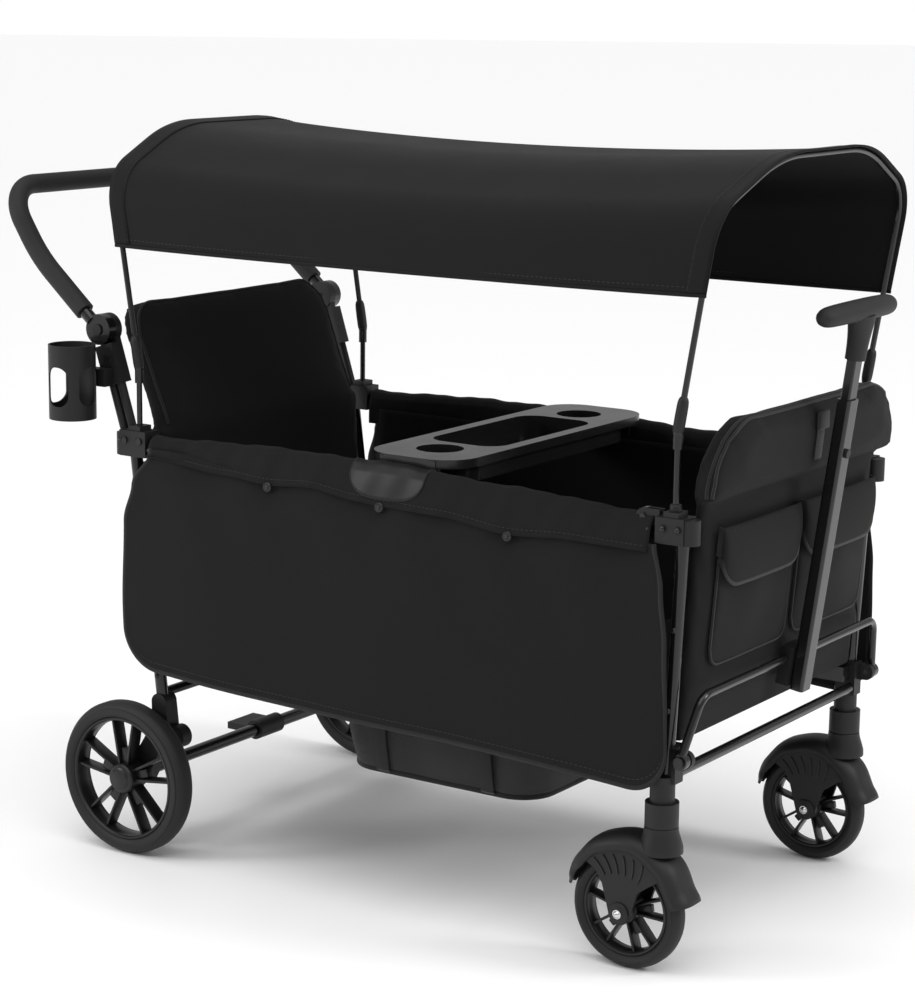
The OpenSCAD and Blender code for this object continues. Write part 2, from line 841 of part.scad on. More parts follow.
// The whole outline, brought upright from the hoop's leaning plane
module arch2d(out, low) {
    half = half_arch(out, low);
    n = len(half);
    polygon(concat([for (p = half) [p[0], hoop_knee_z + p[1] * cos(hoop_lean)]],
                   [for (i = [n - 1:-1:0])
                       [-half[i][0], hoop_knee_z + half[i][1] * cos(hoop_lean)]]));
}

module canopy_fabric() {
    over = hoop_r + 0.4;
    hem = (canopy_hem_z - hoop_knee_z) / cos(hoop_lean);
    reach_low = hoop_foot[0] + (canopy_hem_z - hoop_knee_z) * tan(hoop_lean) + 6;
    reach_top = hoop_foot[0] + (canopy_top_z - hoop_knee_z) * tan(hoop_lean) + 6;
    placed() color("black") intersection() {
        difference() {
            plate_x(-600, 600) arch2d(over + fabric_t, hem);
            plate_x(-610, 610) arch2d(over, hem - 50);
        }
        plate_y(-400, 400) polygon([[-reach_low, canopy_hem_z - 1], [reach_low, canopy_hem_z - 1],
                                    [reach_top, canopy_top_z + 1], [reach_top, 1300],
                                    [-reach_top, 1300], [-reach_top, canopy_top_z + 1]]);
    }
}

rear_legs();
rear_cross_tubes();
rear_clamps();
rear_axle();
rear_brackets();
rear_hinge_lugs();
push_knuckles();
rear_fasteners();
cup_holder();
rear_backrest();
tub_sides();
side_flap_near();
side_flap_far();
storage_basket();
floor_board_rear();
floor_pins();
seat_pad_rear();
floor_board_front();
seat_pad_front();
side_rails_rear();
rail_sleeves_rear();
rail_hinge_pins();
side_rails_front();
rail_sleeves_front();
front_legs();
front_cross_tubes();
front_clamps();
caster_sockets();
front_hinge_lugs();
front_fasteners();
front_backrest();
front_pockets();
fork_near();
fork_far();
caster_pins_near();
caster_pins_far();
caster_rim_near();
caster_rim_far();
caster_tyre_near();
caster_tyre_far();
rear_rim_near();
rear_rim_far();
rear_tyre_near();
rear_tyre_far();
pull_u_bar();
pull_outer_tube();
pull_foot_bracket();
pull_button();
pull_inner_tube();
tee_grip();
push_handle_tube();
push_grip();
handle_button_near();
handle_button_far();
brake_pedal();
tray();
canopy_hoop_rear();
canopy_hoop_front();
canopy_fabric();
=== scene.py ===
# %% [markdown]
# # A folding wagon with a pull handle
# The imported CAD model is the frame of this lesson: it holds every tube, hinge and wheel at its
# real size. Each cell below adds one part of the look around it, in metres.

# %% Load the frame
import math

import bmesh
import bpy
from mathutils import Matrix, Vector
from mathutils.bvhtree import BVHTree


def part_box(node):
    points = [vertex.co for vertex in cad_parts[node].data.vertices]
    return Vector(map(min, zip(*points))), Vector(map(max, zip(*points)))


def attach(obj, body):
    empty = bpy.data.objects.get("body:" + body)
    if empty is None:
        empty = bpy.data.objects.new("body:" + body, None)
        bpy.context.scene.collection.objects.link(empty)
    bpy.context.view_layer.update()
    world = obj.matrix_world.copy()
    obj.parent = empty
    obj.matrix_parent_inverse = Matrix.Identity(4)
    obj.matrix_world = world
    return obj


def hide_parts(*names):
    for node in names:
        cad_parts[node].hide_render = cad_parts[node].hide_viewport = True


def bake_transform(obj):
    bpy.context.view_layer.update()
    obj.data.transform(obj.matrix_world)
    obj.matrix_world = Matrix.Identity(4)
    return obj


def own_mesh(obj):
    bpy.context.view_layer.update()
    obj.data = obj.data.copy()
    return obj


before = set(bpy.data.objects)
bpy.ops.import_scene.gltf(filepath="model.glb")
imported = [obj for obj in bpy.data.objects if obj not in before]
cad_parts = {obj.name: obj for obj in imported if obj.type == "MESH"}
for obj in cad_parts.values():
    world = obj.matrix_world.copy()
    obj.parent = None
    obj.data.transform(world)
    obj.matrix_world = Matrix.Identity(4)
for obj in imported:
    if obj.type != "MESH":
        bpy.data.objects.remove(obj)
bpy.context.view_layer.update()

# %% [markdown]
# The wagon is symmetric about its middle hinge and the plane between its wheels, so pieces are
# easiest to place from there. The rail hinge pins give that middle, and `at` turns distances
# from it, in millimetres, into a point of the frame.

# %% Place things from the middle of the wagon
pins_low, pins_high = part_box("rail_hinge_pins")
middle = (pins_low + pins_high) / 2
MM = 0.001
NEAR, FAR = -1, 1
SIDES = (("near", NEAR), ("far", FAR))


def at(x, y, z):
    return Vector((middle.x + x * MM, middle.y + y * MM, z * MM))


def ease(t):
    t = min(1.0, max(0.0, t))
    return t * t * (3 - 2 * t)


def between(table, x):
    """The value at x of a smooth line through (place, value) pairs."""
    if x <= table[0][0]:
        return table[0][1]
    for (x0, y0), (x1, y1) in zip(table, table[1:]):
        if x <= x1:
            return y0 + (y1 - y0) * ease((x - x0) / (x1 - x0))
    return table[-1][1]


print("middle of the wagon", [round(c, 4) for c in middle])

# %% [markdown]
# ## Camera, floor and light
# The camera stands to the front right of the wagon, at the height of a grown-up's eyes. The
# studio is a pale floor that runs far back, a bright even surrounding, one wide soft sun from
# above, and two smaller lights that draw edges along the tubes.

# %% Camera
EYE = (2.3259, -3.4702, 1.4275)
YAW, PITCH, ROLL = 0.5892, 0.1984, 0.0118
LENS = 93.76

ahead = Vector((-math.sin(YAW) * math.cos(PITCH), math.cos(YAW) * math.cos(PITCH),
                -math.sin(PITCH)))
level = Vector((math.cos(YAW), math.sin(YAW), 0))
above = level.cross(ahead)
right = math.cos(ROLL) * level + math.sin(ROLL) * above
upward = math.cos(ROLL) * above - math.sin(ROLL) * level
camera_data = bpy.data.cameras.new("studio_camera")
camera_data.lens, camera_data.sensor_width = LENS, 36.0
camera_data.clip_start, camera_data.clip_end = 0.1, 60.0
camera = bpy.data.objects.new("studio_camera", camera_data)
camera.matrix_world = Matrix.Translation(EYE) @ Matrix((right, upward, -ahead)).transposed().to_4x4()
bpy.context.scene.collection.objects.link(camera)
bpy.context.scene.camera = camera
print("camera at", EYE)

# %% Floor and lights
FLOOR_HALF = 150.0
SUN_STRENGTH, SUN_SPREAD = 1.9, math.radians(70)
floor_bm = bmesh.new()
bmesh.ops.create_grid(floor_bm, x_segments=2, y_segments=2, size=FLOOR_HALF)
floor_mesh = bpy.data.meshes.new("studio_floor")
floor_bm.to_mesh(floor_mesh)
floor_bm.free()
studio_floor = bpy.data.objects.new("studio_floor", floor_mesh)
bpy.context.scene.collection.objects.link(studio_floor)
pale = bpy.data.materials.new("pale_floor")
pale.use_nodes = True
pale_shader = pale.node_tree.nodes["Principled BSDF"]
pale_shader.inputs["Base Color"].default_value = (0.96, 0.96, 0.96, 1)
pale_shader.inputs["Roughness"].default_value = 0.55
floor_mesh.materials.append(pale)

world = bpy.data.worlds.new("studio_surround")
world.use_nodes = True
backdrop = world.node_tree.nodes["Background"]
backdrop.inputs["Color"].default_value = (1.0, 1.0, 1.0, 1)
ray = world.node_tree.nodes.new("ShaderNodeLightPath")
strength = world.node_tree.nodes.new("ShaderNodeMapRange")
strength.inputs["To Min"].default_value = 0.5
strength.inputs["To Max"].default_value = 1.0
world.node_tree.links.new(ray.outputs["Is Camera Ray"], strength.inputs["Value"])
world.node_tree.links.new(strength.outputs["Result"], backdrop.inputs["Strength"])
bpy.context.scene.world = world
bpy.context.scene.view_settings.view_transform = "Standard"


def soft_light(name, place, target, size, watts):
    data = bpy.data.lights.new(name, "AREA")
    data.size, data.energy = size, watts
    lamp = bpy.data.objects.new(name, data)
    lamp.location = place
    lamp.rotation_euler = (Vector(target) - Vector(place)).to_track_quat("-Z", "Y").to_euler()
    bpy.context.scene.collection.objects.link(lamp)


overhead = bpy.data.lights.new("overhead_light", "SUN")
overhead.energy, overhead.angle = SUN_STRENGTH, SUN_SPREAD
overhead_lamp = bpy.data.objects.new("overhead_light", overhead)
overhead_lamp.rotation_euler = (math.radians(14), math.radians(8), 0)
bpy.context.scene.collection.objects.link(overhead_lamp)
soft_light("edge_light", (3.4, 0.8, 2.4), (0.3, 0, 0.6), 0.9, 45)
soft_light("side_light", (-2.6, -2.8, 2.0), (-0.2, 0, 0.5), 1.0, 40)
print("lights", len(bpy.data.lights))

# %% [markdown]
# ## Finishes
# Nearly everything on this wagon is black, so the finishes tell the parts apart: a gloss
# coat on the tubes, a fine moulded texture on the plastic, foam rubber on the tyres and a woven
# cloth on the tub. Effects that several finishes share are node groups, built once.


# %% A helper that builds a node group
def node_group(name, inputs, outputs):
    group = bpy.data.node_groups.new(name, "ShaderNodeTree")
    for socket, kind, value in inputs:
        made = group.interface.new_socket(socket, in_out="INPUT", socket_type=kind)
        if value is not None:
            made.default_value = value
    for socket, kind in outputs:
        group.interface.new_socket(socket, in_out="OUTPUT", socket_type=kind)
    return group, group.nodes.new("NodeGroupInput"), group.nodes.new("NodeGroupOutput")


def calc(tree, operation, a, b=None):
    node = tree.nodes.new("ShaderNodeMath")
    node.operation = operation
    for socket, value in ((node.inputs[0], a), (node.inputs[1], b)):
        if isinstance(value, bpy.types.NodeSocket):
            tree.links.new(value, socket)
        elif value is not None:
            socket.default_value = value
    return node.outputs[0]


def noise(tree, vector, scale, detail=3.0, roughness=0.5):
    node = tree.nodes.new("ShaderNodeTexNoise")
    node.inputs["Scale"].default_value = scale
    node.inputs["Detail"].default_value = detail
    node.inputs["Roughness"].default_value = roughness
    tree.links.new(vector, node.inputs["Vector"])
    return node.outputs["Fac"]


# %% Weave, grain and dust groups
weave, weave_in, weave_out = node_group(
    "weave", [("Place", "NodeSocketVector", None), ("Threads per metre", "NodeSocketFloat", 700.0)],
    [("Height", "NodeSocketFloat"), ("Fleck", "NodeSocketFloat")])
scaled = weave.nodes.new("ShaderNodeVectorMath")
scaled.operation = "SCALE"
weave.links.new(weave_in.outputs["Place"], scaled.inputs[0])
weave.links.new(weave_in.outputs["Threads per metre"], scaled.inputs["Scale"])
parts = weave.nodes.new("ShaderNodeSeparateXYZ")
weave.links.new(scaled.outputs[0], parts.inputs[0])
warp, weft = (calc(weave, "ABSOLUTE", calc(weave, "SINE", calc(weave, "MULTIPLY", way, math.pi)))
              for way in parts.outputs[:2])
cells = calc(weave, "MODULO",
             calc(weave, "ADD", calc(weave, "FLOOR", parts.outputs[0]),
                  calc(weave, "FLOOR", parts.outputs[1])), 2.0)
over = calc(weave, "GREATER_THAN", calc(weave, "ABSOLUTE", cells), 0.5)
crossed = weave.nodes.new("ShaderNodeMix")
weave.links.new(over, crossed.inputs["Factor"])
weave.links.new(warp, crossed.inputs["A"])
weave.links.new(weft, crossed.inputs["B"])
weave.links.new(crossed.outputs["Result"], weave_out.inputs["Height"])
weave.links.new(noise(weave, scaled.outputs[0], 0.7, 2.0, 0.8), weave_out.inputs["Fleck"])

grain, grain_in, grain_out = node_group(
    "moulded_grain", [("Place", "NodeSocketVector", None)],
    [("Height", "NodeSocketFloat"), ("Cloud", "NodeSocketFloat")])
grain.links.new(noise(grain, grain_in.outputs["Place"], 1600.0, 2.0, 0.6), grain_out.inputs["Height"])
grain.links.new(noise(grain, grain_in.outputs["Place"], 14.0, 4.0, 0.6), grain_out.inputs["Cloud"])

dust, dust_in, dust_out = node_group(
    "settled_dust", [("Place", "NodeSocketVector", None)], [("Amount", "NodeSocketFloat")])
facing = dust.nodes.new("ShaderNodeNewGeometry")
normal_parts = dust.nodes.new("ShaderNodeSeparateXYZ")
dust.links.new(facing.outputs["Normal"], normal_parts.inputs[0])
upper = calc(dust, "MAXIMUM", normal_parts.outputs[2], 0.0)
dust.links.new(calc(dust, "MULTIPLY", upper, noise(dust, dust_in.outputs["Place"], 35.0, 5.0, 0.7)),
               dust_out.inputs["Amount"])
print("node groups", [g.name for g in bpy.data.node_groups])


# %% A helper that starts a finish
def start_finish(name, colour, roughness, **sockets):
    finish = bpy.data.materials.new(name)
    finish.use_nodes = True
    tree = finish.node_tree
    shader = tree.nodes["Principled BSDF"]
    shader.inputs["Base Color"].default_value = (*colour, 1)
    shader.inputs["Roughness"].default_value = roughness
    for socket, value in sockets.items():
        shader.inputs[socket.replace("_", " ")].default_value = value
    finish.diffuse_color = (*colour, 1)
    return finish, tree, shader


def use_group(tree, group, vector, **values):
    node = tree.nodes.new("ShaderNodeGroup")
    node.node_tree = group
    tree.links.new(vector, node.inputs["Place"])
    for socket, value in values.items():
        node.inputs[socket.replace("_", " ")].default_value = value
    return node


def object_place(tree):
    return tree.nodes.new("ShaderNodeTexCoord").outputs["Object"]


def colour_between(tree, factor, low, high):
    ramp = tree.nodes.new("ShaderNodeMix")
    ramp.data_type = "RGBA"
    ramp.inputs["A"].default_value = (*low, 1)
    ramp.inputs["B"].default_value = (*high, 1)
    tree.links.new(factor, ramp.inputs["Factor"])
    return ramp.outputs["Result"]


def number_between(tree, factor, low, high):
    node = tree.nodes.new("ShaderNodeMapRange")
    node.inputs["To Min"].default_value = low
    node.inputs["To Max"].default_value = high
    tree.links.new(factor, node.inputs["Value"])
    return node.outputs["Result"]


def bump(tree, shader, height, distance, strength=1.0):
    node = tree.nodes.new("ShaderNodeBump")
    node.inputs["Distance"].default_value = distance
    node.inputs["Strength"].default_value = strength
    tree.links.new(height, node.inputs["Height"])
    tree.links.new(node.outputs["Normal"], shader.inputs["Normal"])


# %% [markdown]
# The tubes carry a gloss powder coat: nearly black, with a very slight orange-peel ripple that
# breaks up the long reflections. The plastic mouldings are matt with a spark-eroded grain,
# and the rims have a smoother satin skin.


# %% Hard finishes
DUST_DULLS = 0.08


def coated_tube():
    finish, tree, shader = start_finish("gloss_powder_coat", (0.006, 0.006, 0.0065), 0.24,
                                        Coat_Weight=0.3, Coat_Roughness=0.07,
                                        Specular_IOR_Level=0.28)
    place = object_place(tree)
    ripple = noise(tree, place, 260.0, 2.0, 0.5)
    haze = noise(tree, place, 22.0, 4.0, 0.6)
    tree.links.new(number_between(tree, haze, 0.18, 0.32), shader.inputs["Roughness"])
    bump(tree, shader, ripple, 0.00012)
    return finish


def moulded(name, low, high, rough_low, rough_high, depth, specular=0.32):
    finish, tree, shader = start_finish(name, low, rough_high, Specular_IOR_Level=specular)
    place = object_place(tree)
    texture = use_group(tree, grain, place)
    tree.links.new(colour_between(tree, texture.outputs["Cloud"], low, high),
                   shader.inputs["Base Color"])
    settled = use_group(tree, dust, place)
    rough = number_between(tree, texture.outputs["Cloud"], rough_low, rough_high)
    dusty = calc(tree, "MULTIPLY", settled.outputs["Amount"], DUST_DULLS)
    tree.links.new(calc(tree, "ADD", rough, dusty), shader.inputs["Roughness"])
    bump(tree, shader, texture.outputs["Height"], depth)
    return finish


tube_coat = coated_tube()
grained_plastic = moulded("grained_plastic", (0.006, 0.006, 0.0063), (0.010, 0.010, 0.010),
                          0.42, 0.56, 0.00010)
satin_plastic = moulded("satin_plastic", (0.006, 0.006, 0.006), (0.009, 0.009, 0.009),
                        0.28, 0.38, 0.00003)
tray_gloss = moulded("tray_gloss", (0.010, 0.010, 0.0105), (0.014, 0.014, 0.0145), 0.16, 0.24, 0.00002)
foam_rubber = moulded("foam_rubber", (0.007, 0.007, 0.007), (0.013, 0.013, 0.013), 0.48, 0.66, 0.00018)
grip_foam = moulded("grip_foam", (0.009, 0.009, 0.009), (0.015, 0.015, 0.015), 0.55, 0.72, 0.00022)
board_skin = moulded("board_skin", (0.012, 0.012, 0.012), (0.018, 0.018, 0.018), 0.6, 0.75, 0.0001)

zinc, zinc_tree, zinc_shader = start_finish("bright_zinc", (0.62, 0.62, 0.63), 0.25, Metallic=1.0)
zinc_place = object_place(zinc_tree)
zinc_haze = noise(zinc_tree, zinc_place, 180.0, 4.0, 0.6)
zinc_tree.links.new(number_between(zinc_tree, zinc_haze, 0.16, 0.36), zinc_shader.inputs["Roughness"])
bump(zinc_tree, zinc_shader, zinc_haze, 0.00004)

dark_metal, dark_tree, dark_shader = start_finish("blackened_rivet", (0.03, 0.03, 0.03), 0.3,
                                                  Metallic=0.7)
dark_haze = noise(dark_tree, object_place(dark_tree), 240.0, 3.0, 0.6)
dark_tree.links.new(number_between(dark_tree, dark_haze, 0.22, 0.42), dark_shader.inputs["Roughness"])
bump(dark_tree, dark_shader, dark_haze, 0.00004)
print("hard finishes", len(bpy.data.materials))

# %% [markdown]
# The cloth is a coated polyester weave. Threads cross about seven times a centimetre, with light
# flecks where single filaments catch the light, and a faint sheen at grazing angles. A sheet
# carries its own flat map in metres, and a stuffed piece takes the weave from two of its axes.


# %% Cloth finishes
def cloth(name, low, high, plane="map", threads=720.0, rough=(0.72, 0.9), sheen=0.03, depth=0.00025,
          specular=0.14):
    finish, tree, shader = start_finish(name, low, rough[1], Sheen_Weight=sheen,
                                        Sheen_Roughness=0.5, Specular_IOR_Level=specular)
    if plane == "map":
        source = tree.nodes.new("ShaderNodeUVMap")
        source.uv_map = "flat_cloth"
        place = source.outputs["UV"]
    else:
        split = tree.nodes.new("ShaderNodeSeparateXYZ")
        joined = tree.nodes.new("ShaderNodeCombineXYZ")
        tree.links.new(object_place(tree), split.inputs[0])
        for number, axis in enumerate(plane):
            tree.links.new(split.outputs["XYZ".index(axis)], joined.inputs[number])
        place = joined.outputs[0]
    threads_node = use_group(tree, weave, place, Threads_per_metre=threads)
    spots = object_place(tree)
    shade = noise(tree, spots, 7.0, 4.0, 0.6)
    mottled = calc(tree, "MULTIPLY", threads_node.outputs["Fleck"], 0.7)
    mixed = calc(tree, "ADD", mottled, calc(tree, "MULTIPLY", shade, 0.35))
    tree.links.new(colour_between(tree, mixed, low, high), shader.inputs["Base Color"])
    tree.links.new(number_between(tree, shade, *rough), shader.inputs["Roughness"])
    bump(tree, shader, threads_node.outputs["Height"], depth)
    return finish


CLOTH_LOW, CLOTH_HIGH = (0.0045, 0.0043, 0.0041), (0.0125, 0.0120, 0.0113)
tub_cloth = cloth("tub_cloth", CLOTH_LOW, CLOTH_HIGH)
tub_cloth_ends = cloth("tub_cloth_ends", CLOTH_LOW, CLOTH_HIGH, "YZ")
seat_cloth = cloth("seat_cloth", CLOTH_LOW, CLOTH_HIGH, "XY")
canopy_cloth = cloth("canopy_cloth", (0.0022, 0.0021, 0.0021), (0.0055, 0.0054, 0.0053), "map", 1100.0,
                     (0.5, 0.66), 0.015, 0.0001, 0.16)
binding_tape = cloth("binding_tape", (0.006, 0.006, 0.006), (0.015, 0.0145, 0.014), "XZ", 1400.0,
                     (0.6, 0.75), 0.15, 0.00012)
webbing = cloth("webbing", (0.007, 0.007, 0.007), (0.016, 0.016, 0.016), "XZ", 500.0, (0.55, 0.7),
                0.2, 0.0003)
thread = cloth("sewing_thread", (0.012, 0.012, 0.012), (0.03, 0.03, 0.03), "XZ", 2400.0, (0.5, 0.65),
               0.2, 0.00008)

net, net_tree, net_shader = start_finish("basket_net", (0.009, 0.009, 0.009), 0.7, Sheen_Weight=0.1)
net_split = net_tree.nodes.new("ShaderNodeUVMap")
net_split.uv_map = "flat_cloth"
net_threads = use_group(net_tree, weave, net_split.outputs["UV"], Threads_per_metre=420.0)
net_cloud = noise(net_tree, object_place(net_tree), 30.0, 3.0, 0.6)
net_tree.links.new(colour_between(net_tree, net_cloud, (0.006, 0.006, 0.006), (0.014, 0.014, 0.014)),
                   net_shader.inputs["Base Color"])
net_open = calc(net_tree, "GREATER_THAN", net_threads.outputs["Height"], 0.34)
net_tree.links.new(number_between(net_tree, net_open, 0.35, 1.0), net_shader.inputs["Alpha"])
bump(net_tree, net_shader, net_threads.outputs["Height"], 0.0004)
print("cloth finishes", [m.name for m in bpy.data.materials if "cloth" in m.name])

# %% [markdown]
# ## Making pieces
# Every new piece goes the same way: shape a bmesh, turn it into an object that sits at the
# origin, give it a finish, and let it ride on the body it belongs to.


# %% Turn a bmesh into a finished piece
def finish_piece(name, bm, finishes, body, smooth_angle=35.0):
    mesh = bpy.data.meshes.new(name)
    bm.to_mesh(mesh)
    bm.free()
    for finish in finishes if isinstance(finishes, (list, tuple)) else [finishes]:
        mesh.materials.append(finish)
    mesh.shade_smooth()
    mesh.set_sharp_from_angle(angle=math.radians(smooth_angle))
    piece = bpy.data.objects.new(name, mesh)
    bpy.context.scene.collection.objects.link(piece)
    if body:
        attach(piece, body)
    print(name, "faces", len(mesh.polygons))
    return piece


def outward(bm):
    bmesh.ops.recalc_face_normals(bm, faces=bm.faces)
    return bm


def thicken(piece, thickness, offset=0.0):
    wall = piece.modifiers.new("cloth_thickness", "SOLIDIFY")
    wall.thickness, wall.offset = thickness, offset
    return piece


def soft_edges(piece, width, segments=2, angle=40.0):
    edge = piece.modifiers.new("soft_edges", "BEVEL")
    edge.width, edge.segments = width, segments
    edge.limit_method, edge.angle_limit = "ANGLE", math.radians(angle)
    return piece


# %% [markdown]
# A sheet of cloth starts as a flat grid. Each of its points is then moved to where it lies on
# the wagon, and the flat grid stays as its map, so the weave follows the cloth.


# %% Sheets from a grid
def cloth_grid(columns, rows, flat, shape):
    bm = bmesh.new()
    flat_map = bm.loops.layers.uv.new("flat_cloth")
    bmesh.ops.create_grid(bm, x_segments=columns, y_segments=rows, size=0.5)
    for face in bm.faces:
        for loop in face.loops:
            loop[flat_map].uv = ((loop.vert.co.x + 0.5) * flat[0], (loop.vert.co.y + 0.5) * flat[1])
    for vert in bm.verts:
        vert.co = shape(vert.co.x + 0.5, vert.co.y + 0.5)
    return bm


def free_edges(shape, side_steps, hem_steps, hem):
    """Points down one side of a sheet, along its hem (at v = 0 or 1) and back up the other."""
    run = [i / side_steps if hem else 1 - i / side_steps for i in range(side_steps)]
    back = [1 - i / side_steps if hem else i / side_steps for i in range(1, side_steps + 1)]
    along_hem = [shape(i / hem_steps, hem) for i in range(hem_steps + 1)]
    return [shape(0, v) for v in run] + along_hem + [shape(1, v) for v in back]


# %% [markdown]
# Piping, binding, webbing and thread all follow a path. One small ring is extruded from point
# to point along it, wide along `across` and thin the other way.


# %% Tapes and cords along a path
def sweep(bm, points, half_across, half_other, across, closed=False, sides=8):
    section = bm.verts.layers.float_vector.get("section") or bm.verts.layers.float_vector.new("section")
    ring = bmesh.ops.create_circle(bm, segments=sides, radius=1.0)["verts"]
    for vert in ring:
        vert[section] = vert.co.copy()
    edges = list({e for v in ring for e in v.link_edges})
    first = edges
    last = len(points) - 1
    for i, point in enumerate(points):
        wide = half_across[i] if isinstance(half_across, list) else half_across
        thin = half_other[i] if isinstance(half_other, list) else half_other
        before = points[i - 1] if i or closed else point
        after = points[(i + 1) % len(points)] if i < last or closed else point
        tangent = (after - before).normalized()
        side = (across - tangent * across.dot(tangent)).normalized()
        other = tangent.cross(side)
        if i:
            made = bmesh.ops.extrude_edge_only(bm, edges=edges)["geom"]
            ring = [g for g in made if isinstance(g, bmesh.types.BMVert)]
            known = set(ring)
            edges = [g for g in made if isinstance(g, bmesh.types.BMEdge)
                     and g.verts[0] in known and g.verts[1] in known]
        for vert in ring:
            vert.co = point + side * (vert[section].x * wide) + other * (vert[section].y * thin)
    if closed:
        bmesh.ops.bridge_loops(bm, edges=first + edges)
    else:
        bmesh.ops.contextual_create(bm, geom=first)
        bmesh.ops.contextual_create(bm, geom=edges)
    return bm


def swept(points, half_across, half_other, across, closed=False, sides=8):
    bm = bmesh.new()
    return outward(sweep(bm, points, half_across, half_other, across, closed, sides))


# %% [markdown]
# A row of stitches is many short thread ends, one after another along a seam.


# %% Rows of stitches
def even_points(points, spacing):
    """The same path with a point every so many metres, so that stitches are all the same length."""
    kept, carried = [points[0]], 0.0
    for start, end in zip(points, points[1:]):
        run = (end - start).length
        while carried + spacing <= run + 1e-9 and run > 0:
            carried += spacing
            kept.append(start.lerp(end, carried / run))
        carried -= run
    return kept


def stitch_row(name, points, across, body):
    bm = bmesh.new()
    dots = even_points(points, 0.004)
    for start, end in zip(dots[::2], dots[1::2]):
        sweep(bm, [start, start.lerp(end, 0.5), end], 0.0005, 0.0005, across, sides=4)
    return finish_piece(name, outward(bm), thread, body)


# %% [markdown]
# Wheels, hubs, bolts and grips are round, so they are turned: a half outline is spun a full
# circle about its axis.


# %% Turned shapes
def turned(bm, outline, centre, axis="Y", steps=64, closed=True):
    """Spins (radius, along) pairs, in millimetres, about an axis through centre."""
    along = {"X": Vector((1, 0, 0)), "Y": Vector((0, 1, 0)), "Z": Vector((0, 0, 1))}[axis]
    out = Vector((0, 0, 1)) if axis != "Z" else Vector((1, 0, 0))
    verts = [bm.verts.new(centre + out * (r * MM) + along * (a * MM)) for r, a in outline]
    pairs = list(zip(verts, verts[1:])) + ([(verts[-1], verts[0])] if closed else [])
    edges = [bm.edges.new(pair) for pair in pairs]
    bmesh.ops.spin(bm, geom=verts + edges, cent=centre, axis=along, angle=math.tau, steps=steps,
                   use_merge=True, use_duplicate=False)
    bmesh.ops.remove_doubles(bm, verts=[v for v in bm.verts if v.is_valid], dist=1e-7)
    return bm


print("helpers ready")

# %% [markdown]
# ## The canopy
# One piece of smooth cloth is stretched over two arches that lean outwards. It is made as a
# single curved sheet: across, it follows the arch, and along the wagon it runs from hoop to
# hoop, sagging a little where nothing holds it. Its far edge hangs lower, as a side shade.

# %% The arch that the cloth follows
ARCH_HALF, KNEE_Z, LEAN = 306.0, 805.0, math.radians(9.3)
ARCH_TOP, DROP = 382.0, 74.0
SHOULDER_R, CROWN_Y, CROWN_R = 78.0, 142.0, 280.0
HOOP_X = 494.0


def arch_line(out, low_near, low_far):
    slope = math.atan2(DROP, ARCH_HALF - CROWN_Y)
    shoulder = (ARCH_HALF - SHOULDER_R,
                ARCH_TOP - DROP - SHOULDER_R * math.tan(math.pi / 4 - slope / 2))
    crown = (CROWN_Y - CROWN_R * math.tan(slope / 2), ARCH_TOP - CROWN_R)
    curve = []
    turn = math.pi / 2 - slope
    for centre, radius, start, end, count in ((shoulder, SHOULDER_R + out, 0, turn, 14),
                                              (crown, CROWN_R + out, turn, math.pi / 2, 12)):
        for i in range(count + 1):
            a = start + (end - start) * i / count
            curve.append((centre[0] + radius * math.cos(a), centre[1] + radius * math.sin(a)))
    near = [(-(ARCH_HALF + out), low_near)] + [(-y, z) for y, z in curve]
    far = [(y, z) for y, z in reversed(curve)] + [(ARCH_HALF + out, low_far)]
    return near + far


def along_line(line, share):
    lengths = [math.dist(a, b) for a, b in zip(line, line[1:])]
    left = share * sum(lengths)
    for (a, b), run in zip(zip(line, line[1:]), lengths):
        if left <= run or run == lengths[-1] and b is line[-1]:
            t = 0.0 if run == 0 else min(1.0, left / run)
            return a[0] + (b[0] - a[0]) * t, a[1] + (b[1] - a[1]) * t
        left -= run
    return line[-1]


CLOTH_OUT = 6.2
HEM_NEAR, HEM_FAR = 1000.0, 948.0
hem_near_local = (HEM_NEAR - KNEE_Z) / math.cos(LEAN)
hem_far_local = (HEM_FAR - KNEE_Z) / math.cos(LEAN)
canopy_line = arch_line(CLOTH_OUT, hem_near_local, hem_far_local)
canopy_width = sum(math.dist(a, b) for a, b in zip(canopy_line, canopy_line[1:])) * MM
OVERHANG = 0.009
CANOPY_SAG, CANOPY_WAIST, CANOPY_RIPPLE = 24.0, 0.014, 1.3


def canopy_point(share, along, lift=0.0):
    y, rise = along_line(canopy_line, share)
    height = KNEE_Z + rise * math.cos(LEAN)
    reach = HOOP_X + rise * math.sin(LEAN)
    v = along * (1 + 2 * OVERHANG) - OVERHANG
    free = math.sin(math.pi * min(1, max(0, v)))
    crown = ease((rise - 150) / 180)
    height -= CANOPY_SAG * free ** 0.7 * crown
    pull = 1 - CANOPY_WAIST * free ** 1.5
    ripple = CANOPY_RIPPLE * math.sin(9 * along + 5 * share) * free * (1 - crown)
    y = y * pull + math.copysign(ripple + lift * (1 - crown), y)
    return at(-reach + 2 * reach * v, y, height + lift * crown)


canopy_length = (canopy_point(0.5, 1) - canopy_point(0.5, 0)).length
print("canopy cloth", round(canopy_width, 3), "by", round(canopy_length, 3), "m")

# %% Canopy sheet
canopy = finish_piece("canopy_sheet",
                      cloth_grid(150, 120, (canopy_width, canopy_length), canopy_point),
                      canopy_cloth, "canopy_rear", 60.0)
thicken(canopy, 0.0014)
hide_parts("canopy_fabric")

# %% [markdown]
# At each hoop the cloth is turned back on itself to make a sleeve for the rod, which shows as a
# band with a row of stitches. The long edges have a narrow hem.


